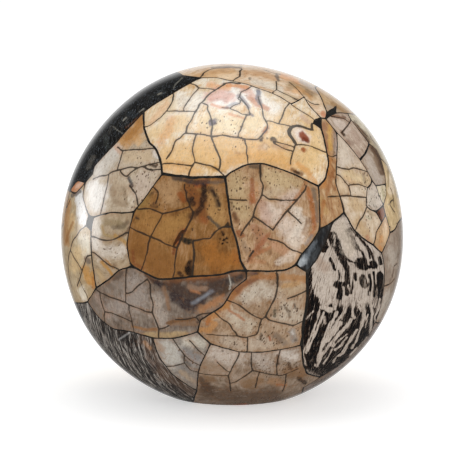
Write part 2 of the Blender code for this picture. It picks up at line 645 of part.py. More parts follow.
def add_resin_cell(bm, shared, loop, pocket, directions, triangles):
    """The resin around one slab: half of each joint's face, the pocket's sides and its floor."""
    rim = [shared_vert(bm, shared, key, point) for key, point, _ in loop]
    lip = [bm.verts.new(direction * ball_surface(direction)) for direction in pocket]
    floor = [bm.verts.new(direction * pocket_floor(direction)) for direction in pocket]
    count = len(rim)
    for index in range(count):
        after = (index + 1) % count
        bm.faces.new((rim[index], rim[after], lip[after], lip[index]))
        bm.faces.new((lip[index], lip[after], floor[after], floor[index]))
    floor += [bm.verts.new(direction * pocket_floor(direction)) for direction in directions[count:]]
    for triangle in triangles:
        bm.faces.new([floor[corner] for corner in triangle])


def shared_vert(bm, shared, key, point):
    """The one corner of the resin at this point of a joint."""
    if key not in shared:
        shared[key] = bm.verts.new(point * ball_surface(point))
    return shared[key]


def add_resin_patch(bm, shared, loop):
    """A patch of bare resin between slabs."""
    points = [point for _, point, _ in loop]
    flat = flattened(points, middle_of(points))
    rim = [shared_vert(bm, shared, key, point) for key, point, _ in loop]
    for triangle in split_up(flat, [], len(flat)):
        bm.faces.new([rim[corner] for corner in triangle])


def material(name, colour, roughness):
    """A polished material of one colour."""
    made = bpy.data.materials.new(name)
    made.use_nodes = True
    shader = made.node_tree.nodes["Principled BSDF"]
    shader.inputs["Base Color"].default_value = (*colour, 1.0)
    shader.inputs["Roughness"].default_value = roughness
    shader.inputs["Metallic"].default_value = 0.0
    return made


def place(mesh, collection, centre, colour, roughness):
    """Puts a mesh in the collection, around the ball's centre."""
    obj = bpy.data.objects.new(mesh.name, mesh)
    obj.parent = centre
    mesh.materials.append(material(mesh.name, colour, roughness))
    collection.objects.link(obj)


def clear_scene():
    """Removes what the scene holds."""
    for obj in list(bpy.data.objects):
        bpy.data.objects.remove(obj)


def build():
    """Makes the slabs and the resin body."""
    clear_scene()
    collection = bpy.data.collections.new("mosaic_ball")
    bpy.context.scene.collection.children.link(collection)
    centre = bpy.data.objects.new("ball_centre", None)
    centre.location = (0.0, 0.0, FLAT_DEPTH)
    collection.objects.link(centre)

    joints = laid_out_joints()
    resin = bmesh.new()
    shared = {}
    for name, (colour, roughness) in STONES.items():
        around = [(points, width) for left, right, points, width in joints if name in (left, right)]
        loop = anticlockwise(closed_chains(around)[0])
        outline = drawn_in(loop, 0.0)
        pocket = drawn_in(loop, SEATING_GAP)
        directions, triangles = surface_net(outline)
        place(slab_mesh(name, directions, triangles), collection, centre, colour, roughness)
        add_resin_cell(resin, shared, loop, pocket, directions, triangles)
    around = [(points, width) for left, right, points, width in joints if "resin" in (left, right)]
    for loop in closed_chains(around):
        add_resin_patch(resin, shared, anticlockwise(loop))
    bmesh.ops.recalc_face_normals(resin, faces=resin.faces[:])
    place(finished_mesh("resin_body", resin), collection, centre, RESIN_COLOUR, RESIN_ROUGHNESS)


build()
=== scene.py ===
import math
import random

import bpy
import numpy as np
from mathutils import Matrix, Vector, noise
from mathutils.geometry import delaunay_2d_cdt


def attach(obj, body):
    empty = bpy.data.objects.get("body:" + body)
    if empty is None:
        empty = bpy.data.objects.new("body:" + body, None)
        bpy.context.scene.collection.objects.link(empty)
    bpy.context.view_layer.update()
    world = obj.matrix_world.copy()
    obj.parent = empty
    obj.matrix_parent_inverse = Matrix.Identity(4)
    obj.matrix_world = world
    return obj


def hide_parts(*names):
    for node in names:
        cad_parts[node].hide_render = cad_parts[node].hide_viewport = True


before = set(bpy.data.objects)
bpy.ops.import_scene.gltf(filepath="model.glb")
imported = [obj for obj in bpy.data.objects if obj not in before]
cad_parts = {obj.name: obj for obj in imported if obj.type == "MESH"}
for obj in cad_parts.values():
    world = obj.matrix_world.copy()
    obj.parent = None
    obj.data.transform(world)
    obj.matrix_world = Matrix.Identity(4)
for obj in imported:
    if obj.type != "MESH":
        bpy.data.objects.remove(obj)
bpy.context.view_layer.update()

# The ball's own sizes, as in the solids, in metres
BALL_RADIUS = 0.150
FLAT_RADIUS = 0.059
FLAT_DEPTH = math.sqrt(BALL_RADIUS ** 2 - FLAT_RADIUS ** 2)
FLAT_ANGLE = math.asin(FLAT_RADIUS / BALL_RADIUS)
SLAB_THICKNESS = 0.018
STONE_UNDER_FLAT = 0.006
# The swells: height in metres, width in radians, how soon they fade above the flat, and each one's way
# round the outline in degrees with its share of the height
SWELL_HEIGHT = 0.0013
SWELL_WIDTH = math.radians(24.0)
SWELL_FADE_ABOVE_FLAT = 0.5
SWELLS = [(5, -1.2), (40, 0.7), (76, -0.5), (110, 1.1), (140, -0.9), (192, -0.6), (229, 0.8)]
CENTRE = np.array([0.0, 0.0, FLAT_DEPTH])

# The photographed view
EYE_DISTANCE = 2.0
EYE_ELEVATION = math.radians(8.0)
AIM_ABOVE_CENTRE = 0.0032
LENS = 177.3
SENSOR = 36.0
TOWARDS_EYE = np.array([0.0, -math.cos(EYE_ELEVATION), math.sin(EYE_ELEVATION)])
PICTURE_RIGHT = np.array([1.0, 0.0, 0.0])
PICTURE_UP = np.array([0.0, math.sin(EYE_ELEVATION), math.cos(EYE_ELEVATION)])
OUTLINE_TANGENT = math.tan(math.asin(BALL_RADIUS / EYE_DISTANCE))
OUTLINE_COSINE = BALL_RADIUS / EYE_DISTANCE

# How finely the stone is meshed, in metres, and how close two places may lie as a share of that
FRONT_STEP = 0.0012
BACK_STEP = 0.0022
UNDERSIDE_STEP = 0.014
CLOSEST_PLACES = 0.55
CLOSEST_TO_EDGE = 0.4

# The cracks: how much wider than measured they are on average, how much they narrow and widen, and how
# near a crack's end comes to the slab's edge or another crack before it is carried on to it, in metres
CRACKS_WIDENED = 1.3
CRACKS_VARIED = 0.7
CRACK_END_GAP = 0.0035

# Natural cracks that aren't drawn: cell size in metres, how loose the cells are, how many of their
# edges stay closed, the longest edge in cells, and half widths in mm and tones from least to most
CELL_SIZE = 0.0235
CELL_LOOSENESS = 0.33
CLOSED_EDGES = 0.2
LONGEST_EDGE = 1.7
GROWN_WIDTHS = (0.32, 0.55)
GROWN_TONES = (0.1, 0.6)

# Slab edges: how far at most each reaches into the joint beside it, how far the joints and the cracks
# wander, in metres, and how far an edge turns, in degrees, before its corner stays crisp
JOINT_NARROWED = 0.00026
JOINT_WANDER = 0.00045
CRACK_WANDER = 0.0004
CRISP_CORNER = 42.0
WANDER_SEED = 4

# What counts as farther off than any crack, in mm, and how far from a crack's middle its cells begin
FAR = 30.0
CELLS_FROM_CRACK = 0.25

MM = 1000.0
BLOCK = 4000

# Cracks that the photograph shows, slab by slab: half width in mm, tone from grey (0) to brown (1),
# and the line, in hundredths of the outline's radius to the right and up
CRACKS = {
    "slab_cream_top": [
        (0.42, 0.2, [(-51.5, 63.3), (-48.3, 64), (-45, 66.3), (-41.3, 69.3), (-39.3, 71.7), (-38, 73.3)]),
        (0.55, 0, [(-38, 73.3), (-36.3, 75.7), (-34.7, 78.3), (-34, 82.6)]),
        (0.42, 0.1, [(-38.3, 72.5), (-28.3, 72.5), (-21.7, 72.3)]),
        (0.42, 0.1, [(-28.2, 72.7), (-28.3, 74.3), (-26.7, 77), (-23.3, 81.7), (-20.3, 85)]),
        (0.5, 0.7, [(-23, 88), (-21.3, 87.7), (-19.7, 86), (-16.7, 85.7), (-11.7, 85.3)]),
        (0.7, 0, [(-21.7, 72), (-20, 74.3), (-19, 76.7), (-17, 78.3), (-15.7, 80.3), (-12.3, 83.3),
            (-10, 84.7), (-5, 88)]),
        (0.9, 0, [(-5, 88.6), (-1, 89.2), (3.7, 88.4)]),
        (0.55, 0.2, [(-21.7, 72), (-22.7, 70.3), (-23.3, 68), (-25, 65.7), (-26.7, 63.3), (-27, 60.3)]),
        (0.5, 0.4, [(-38.3, 45), (-36.7, 47.3), (-35, 50), (-33.3, 55), (-32.7, 55.8), (-30.3, 56.7),
            (-29.3, 58.3), (-27.7, 59.8), (-25, 59.5), (-20, 59.3), (-16.7, 59), (-12.5, 58), (-9, 58),
            (-6, 58.8), (-3, 58.3), (-0.7, 57.5), (3.3, 57.3), (6.7, 56.5), (13.3, 56), (15, 56.3)]),
        (0.45, 0.1, [(-20.8, 59.2), (-22, 55.7), (-23.3, 50), (-21.7, 43)]),
        (0.5, 0.1, [(-17, 77), (-14.3, 76), (-14.7, 73.7), (-13.3, 71), (-12.3, 68), (-11.7, 63.3),
            (-12.3, 60), (-12.3, 57.7), (-10.7, 53.3), (-9.3, 49.7), (-7, 45.3), (-7, 42.7), (-7.5, 39.3)]),
        (0.42, 0.2, [(10.3, 86.7), (8.3, 85), (4.7, 83.7), (4.2, 81), (2.7, 80), (4.7, 78.7)]),
        (0.5, 0, [(4, 81), (9, 75), (10.3, 70.3)]),
        (0.4, 0.1, [(4.7, 77.3), (1, 76), (-1.7, 74.3), (-6, 74.5)]),
        (0.4, 0.1, [(-1.7, 74), (2.3, 72.7), (5.7, 70.7), (8.3, 70.7)]),
        (0.45, 0.1, [(8.3, 70.3), (6.3, 66), (5, 62.3), (3.5, 59.7), (3.3, 58)]),
        (0.42, 0.1, [(7, 56.3), (7.2, 54), (8.3, 51.5), (7.8, 48), (8.7, 46.3), (8.7, 42.6)]),
        (0.5, 0, [(15, 56.3), (17, 58.3), (18.3, 60), (20, 62), (20.3, 65), (18.7, 67.7), (17.5, 70.3),
            (17.3, 74.7), (16, 77), (15, 81)]),
        (0.45, 0.1, [(19.7, 67), (22.7, 66.7), (26.7, 65.2), (30, 64.7), (33.3, 64)]),
        (0.42, 0.1, [(27, 65.3), (28.3, 68), (29.7, 71.7), (30.7, 74.3), (32.7, 77)]),
        (0.42, 0.6, [(23.3, 55), (28.3, 54), (35, 52.3)]),
        (0.4, 0.6, [(24.3, 53.7), (30, 50.7), (35, 49.5)]),
        (1.1, 0, [(47, 61.7), (44, 62.2), (42, 63), (40, 63.7), (37, 64), (34.5, 63.5), (33, 61.5),
            (32.7, 60), (33.3, 58.5), (34.7, 56.7), (36, 55), (37, 53)]),
        (0.9, 0, [(46, 65), (46.3, 62)]),
        (0.5, 0.3, [(-40.3, 42.2), (-35, 42.3), (-30, 41.5), (-23.7, 40.7), (-21.7, 43)]),
        (0.55, 0.3, [(-21.7, 42.8), (-17.3, 41.8), (-13, 41), (-10, 39.6), (-7.3, 37.3), (-5, 35.3)]),
        (0.5, 0.3, [(-22.3, 42), (-24.7, 38.3), (-25.5, 35)]),
        (0.45, 0.2, [(33.7, 41.7), (33.7, 44.3), (34.7, 48.3), (36, 51), (36.7, 53.7)]),
        (0.45, 0.6, [(38, 53), (40, 53.2), (43.5, 52.8), (46, 52), (48, 51), (50, 50.3), (53.3, 49)]),
        (0.4, 0.5, [(35, 75.7), (40, 72.5), (45, 69.5), (47, 68)]),
    ],
    "slab_tan_crown": [
        (0.6, 0.5, [(-17.7, 92.7), (-17, 94.3), (-14.3, 96), (-10.3, 97.2), (-5, 97.5), (0, 98),
            (3.7, 97.8), (5.7, 97), (4.2, 95.7), (4.2, 92.7), (1.7, 91.2), (0, 90)]),
        (0.5, 0.5, [(18.3, 96.7), (23.3, 95), (27.7, 94)]),
        (0.42, 0.4, [(25.5, 90), (25.7, 85), (23.3, 83.5)]),
        (0.42, 0.4, [(25.7, 85), (29.7, 83), (33, 81.5), (36, 80)]),
        (0.42, 0.8, [(41.5, 81), (40, 82.5), (37, 86), (33, 89.5)]),
        (0.5, 0.2, [(43, 79.3), (45, 77.5), (48, 76.3), (50, 76.5)]),
    ],
    "slab_amber": [
        (0.45, 0.5, [(-27.7, 30.3), (-28, 27.3), (-27, 25.7), (-26.7, 21.7), (-25, 19.7), (-24.7, 16.7),
            (-23, 14.3)]),
        (0.5, 0.5, [(-55, 15.3), (-48.3, 16.2), (-45, 15), (-40.7, 13), (-35, 14.3), (-30, 15.3),
            (-25.3, 17)]),
        (0.45, 0.5, [(-40.7, 12.7), (-42.3, 9), (-44, 6.3), (-45.5, 3.2), (-47, 0.5), (-47.7, -1),
            (-49, -5), (-49.3, -9), (-50.5, -12), (-51.5, -15.5), (-52.7, -19.5)]),
        (0.7, 0.5, [(-23, 14), (-23.3, 11.3), (-25, 8), (-26.3, 5.5), (-27.5, 3.2)]),
        (0.5, 0.6, [(-45.7, 28.3), (-43, 25.7), (-43.3, 22.7), (-44.7, 19)]),
        (0.5, 0.5, [(-59.5, 5), (-57, 3.7), (-53, 2), (-50, 0.7), (-47.3, -0.3), (-45, -1.3), (-42, -2.5),
            (-40, -4), (-38, -5), (-35, -6), (-32, -7)]),
        (0.8, 0.9, [(-27.5, 2.8), (-29, 3), (-30.5, 1.5), (-32, -1.5), (-34, -5)]),
        (0.6, 0.4, [(-28.7, 1), (-29.5, -1), (-31, -4), (-32, -6.5)]),
        (0.5, 0.4, [(-32.5, -9), (-33.3, -13), (-33.7, -17), (-33.3, -20), (-34.5, -23.5)]),
        (0.5, 0.3, [(-22.5, -2.5), (-20, -2.3), (-17, -1.5), (-13, -1.5), (-12, 0), (-10, 2.5), (-8, 4),
            (-5, 5.3), (-2, 5.5)]),
        (0.6, 0.3, [(-23, -3.5), (-22.8, -7), (-22.3, -10), (-22.5, -14), (-23.3, -22.5)]),
    ],
    "slab_pink_centre": [
        (0.5, 0.3, [(16, 41.5), (16, 35.3), (16.3, 32.3), (17.8, 29.7), (17.5, 26), (17.3, 24.3),
            (15.7, 21), (14, 18.7), (12.7, 15), (12, 11.3), (9.7, 8), (7, 4.5), (5.5, 2), (4.7, 0.5)]),
        (0.45, 0.3, [(17.3, 24.3), (19.3, 23), (21.3, 21.3), (25, 21.5), (28.3, 20.8), (35, 21),
            (37.7, 21.3)]),
        (0.45, 0.5, [(-2.3, 21.3), (1.7, 21), (8.3, 21)]),
        (0.45, 0.3, [(12.3, 11.3), (17, 8.3), (20, 6.3), (22, 5), (23.3, 3.5)]),
        (0.5, 0.2, [(42.7, 29.3), (42.3, 27.3), (40, 24.3), (37.7, 21.3), (34.3, 17.3), (32, 15),
            (30.7, 13.7), (28.3, 10.3), (24.5, 5.5), (23.3, 3.5)]),
        (0.42, 0.3, [(32, 14.7), (36.7, 10.5), (38.5, 8.7), (40, 7.3)]),
        (0.5, 0.3, [(20.5, -1.3), (23, -2.3), (26, -2.7), (30, -4.3), (31, -5.7), (33, -7.3), (35, -8.5),
            (37, -8.7), (40, -10)]),
        (0.6, 0.1, [(12, -8.7), (11, -10), (10, -11.5)]),
    ],
    "slab_pale_left": [
        (0.5, 0.2, [(-81, 33.2), (-76.7, 35), (-72.7, 35.3), (-70, 37.3), (-65, 38.7), (-60, 40),
            (-55, 40)]),
        (0.5, 0.2, [(-72, 35), (-73, 28.3), (-74.3, 23.3), (-75.3, 18), (-76.7, 13)]),
        (0.45, 0.2, [(-63.7, 49.3), (-65.3, 44), (-66.7, 39.3)]),
        (0.45, 0.2, [(-66.7, 51.7), (-64.3, 49.7), (-60, 50), (-50, 50.5), (-45.5, 51)]),
        (0.55, 0.3, [(-65.3, 38), (-63.3, 35.3), (-61.3, 34.3), (-60, 36), (-56.7, 38.7), (-53.3, 40.5),
            (-51, 40.7), (-50, 39), (-46, 38.4), (-42.3, 38.7)]),
        (0.5, 0.2, [(-59.7, 29.3), (-58, 27), (-56, 24.3), (-55.3, 21), (-55, 18)]),
        (0.45, 0.3, [(-50, 41.4), (-46, 42), (-42.5, 43)]),
    ],
    "slab_swirl_left": [
        (0.45, 0.3, [(-81, -0.3), (-77, -1.8), (-73, -2.7), (-70, -2.2), (-67, -1), (-64, 0.7),
            (-61.7, 2.2), (-60.3, 2)]),
        (0.45, 0.3, [(-81.7, -9), (-80, -9.7), (-77, -12.3), (-74, -15), (-71, -17.3), (-68, -18.3),
            (-66, -19.5)]),
    ],
    "slab_far_left": [
        (0.5, 0.4, [(-96.3, 16.7), (-94.3, 21.7)]),
        (0.5, 0.3, [(-85, 6.2), (-87, 4.7), (-88.7, 3.3), (-90.5, 0.3), (-92.5, -2.2), (-93.3, -4),
            (-94.3, -8.3), (-95, -10.5), (-95.7, -15), (-95.5, -20), (-95, -24), (-93.5, -30)]),
        (0.45, 0.3, [(-94, -8.7), (-92.5, -12), (-90, -15.5), (-88, -19)]),
        (0.5, 0.3, [(-82, -11), (-84.7, -12), (-86, -16), (-87.3, -20), (-88.3, -23.5), (-89.5, -26.5),
            (-90.3, -29)]),
        (0.4, 0.8, [(-88.7, -26), (-87, -30), (-85, -33.5), (-83.7, -36.5)]),
    ],
    "slab_grey_lower": [
        (0.5, 0.3, [(-79, -31), (-77, -32.7), (-72, -35), (-66, -37), (-62.3, -38.3), (-60, -40),
            (-54, -42), (-50, -44), (-46.5, -44.3)]),
        (0.5, 0.3, [(-77, -33), (-76.7, -36), (-75.7, -40), (-74, -44), (-74.5, -47), (-74, -49.5)]),
        (0.45, 0.3, [(-61.7, -18.5), (-62, -30), (-61.9, -38)]),
        (0.45, 0.3, [(-61, -33.3), (-58.5, -32.5), (-55, -29), (-49.5, -25)]),
        (0.42, 0.3, [(-74, -44), (-70, -44.7), (-64.5, -47), (-58.5, -49.5)]),
        (0.42, 0.3, [(-60, -40), (-60, -43), (-59, -46.5), (-58.3, -49.5), (-57.5, -54.5)]),
        (0.5, 0.3, [(-49, -25.5), (-47.7, -28), (-47.7, -35), (-46, -39.5), (-46.5, -44.5), (-45, -48),
            (-43.7, -51.3), (-42.7, -54), (-43, -58.5)]),
        (0.42, 0.3, [(-42, -53.7), (-39.5, -53.3), (-37, -52)]),
        (0.45, 0.3, [(-33, -48.5), (-25, -48), (-21, -47), (-19, -50)]),
        (0.45, 0.3, [(-21, -46.5), (-18, -45.2), (-12, -44.5)]),
    ],
    "slab_cream_lower": [
        (0.5, 0.2, [(25.5, -21), (26.3, -27), (26, -30), (24.7, -36), (22.5, -40), (20, -45), (19.5, -46.7),
            (17, -48.3)]),
        (0.9, 0.2, [(25.7, -21.5), (26.2, -25), (26.2, -29)]),
        (0.45, 0.4, [(-2, -37.5), (4, -40), (8.3, -43.5), (12.5, -46.5), (17, -48.3)]),
        (0.45, 0.4, [(-11, -43.5), (-7.5, -47), (-5, -49), (-2.5, -50), (-1, -52), (0, -54.3), (2, -56),
            (3, -58), (6, -58.8), (8.7, -58.8), (11, -58), (14, -57.3), (15, -55.5), (16, -50.5),
            (17, -48.3)]),
        (0.42, 0.3, [(8.7, -58.8), (8.7, -62), (8.5, -67)]),
        (0.5, 0.3, [(19.5, -46.7), (21.5, -48.7), (25, -49.7), (31, -51), (35, -52), (38, -50.7),
            (40.5, -49.5)]),
        (0.5, 0.3, [(32, -36.3), (35, -35.3), (38, -34), (42.6, -32)]),
        (0.3, 0.5, [(-15, -57), (-5, -57.7), (3, -58)]),
    ],
    "slab_beige_lower": [
        (0.45, 0.3, [(-34.5, -59.8), (-33.3, -62), (-31, -65), (-28, -69), (-28.3, -72), (-28, -73.5)]),
        (0.42, 0.3, [(-28, -69), (-24.5, -72), (-22, -73.5), (-18.6, -75)]),
        (0.42, 0.3, [(-20, -66), (-16, -69.3)]),
        (0.42, 0.3, [(-39, -75.5), (-34, -75.5), (-28, -73.5)]),
        (0.4, 0.3, [(-25, -60.5), (-23.5, -62), (-20, -66)]),
        (0.4, 0.3, [(-28, -73.5), (-24, -78), (-20.2, -78.7)]),
    ],
    "slab_brown_lower": [
        (0.45, 0.3, [(4, -67.5), (3.5, -70), (0, -76), (-2.5, -81), (-1.7, -84), (-1, -90)]),
        (0.42, 0.3, [(-19, -79.5), (-15, -80.2), (-6, -81), (-2.7, -81)]),
        (0.45, 0.3, [(10.8, -67.5), (11, -75), (11.7, -78), (7, -81.3), (2, -84.5), (-1.7, -85.5)]),
        (0.45, 0.3, [(11.7, -78), (18, -79.3), (28, -81), (31, -80), (38, -77)]),
        (0.42, 0.3, [(15.7, -79), (14.5, -82), (13.3, -88)]),
        (0.45, 0.3, [(27.5, -66.5), (26, -72.5), (25.5, -76), (26, -80.5)]),
        (0.35, 0.3, [(-9, -73), (-3, -78.5)]),
        (0.42, 0.3, [(31, -80), (31, -84), (29, -90)]),
    ],
    "slab_mauve_upper": [
        (0.45, 0.5, [(64.7, 58.3), (63.3, 60), (65.5, 62.5), (68.3, 66.3), (68.7, 67.5)]),
        (0.5, 0.7, [(57.5, 69.3), (61, 69), (65, 68), (67, 66.5)]),
    ],
    "slab_pale_shoulder": [
        (0.45, 0.7, [(72.5, 64), (74.5, 61.7), (76.5, 59.5), (78, 58)]),
        (0.42, 0.5, [(76, 64), (81, 55.5), (87, 48.5)]),
    ],
    "slab_tan_right": [
        (0.5, 0.5, [(60, 40.5), (63.3, 39.5), (67.7, 38.7), (70, 39.8), (74.3, 38.7), (78.3, 37.3)]),
        (0.45, 0.5, [(60, 36.3), (62.7, 35), (64.7, 32.3), (67.3, 29.3), (68.3, 25.7), (68.7, 23.3)]),
        (0.42, 0.6, [(67.7, 29.7), (73, 30.3), (78, 28.5)]),
        (0.45, 0.5, [(62.5, 23.3), (66, 23.7), (70, 23.2), (77.3, 22.5)]),
        (0.42, 0.5, [(62.3, 23.3), (64, 19), (65, 15)]),
        (0.5, 0.4, [(77.3, 15.3), (76.5, 13), (75.7, 11), (74, 9.3), (73, 7.5), (72, 5), (71.4, 3.4)]),
    ],
    "slab_rust_strip": [
        (0.45, 0.5, [(55.3, 22.7), (59.3, 23.2), (61.8, 23.2)]),
        (0.4, 0.6, [(55.2, 47), (58, 46), (60.2, 47)]),
    ],
    "slab_khaki_rim": [
        (0.45, 0.5, [(92, 28), (93, 26), (93.5, 23.5), (94, 20), (94.3, 17)]),
        (0.45, 0.5, [(93.3, 21), (92, 19.8), (91.5, 18.5), (93, 16), (94.5, 14)]),
        (0.4, 0.6, [(91.7, 6), (91.8, 4), (91.5, 2.5)]),
    ],
    "slab_mauve_rim": [
        (0.4, 0.5, [(96, -16), (94, -17.5), (93, -24)]),
        (0.4, 0.5, [(94.3, -25), (92, -27.5), (88.5, -29)]),
    ],
}

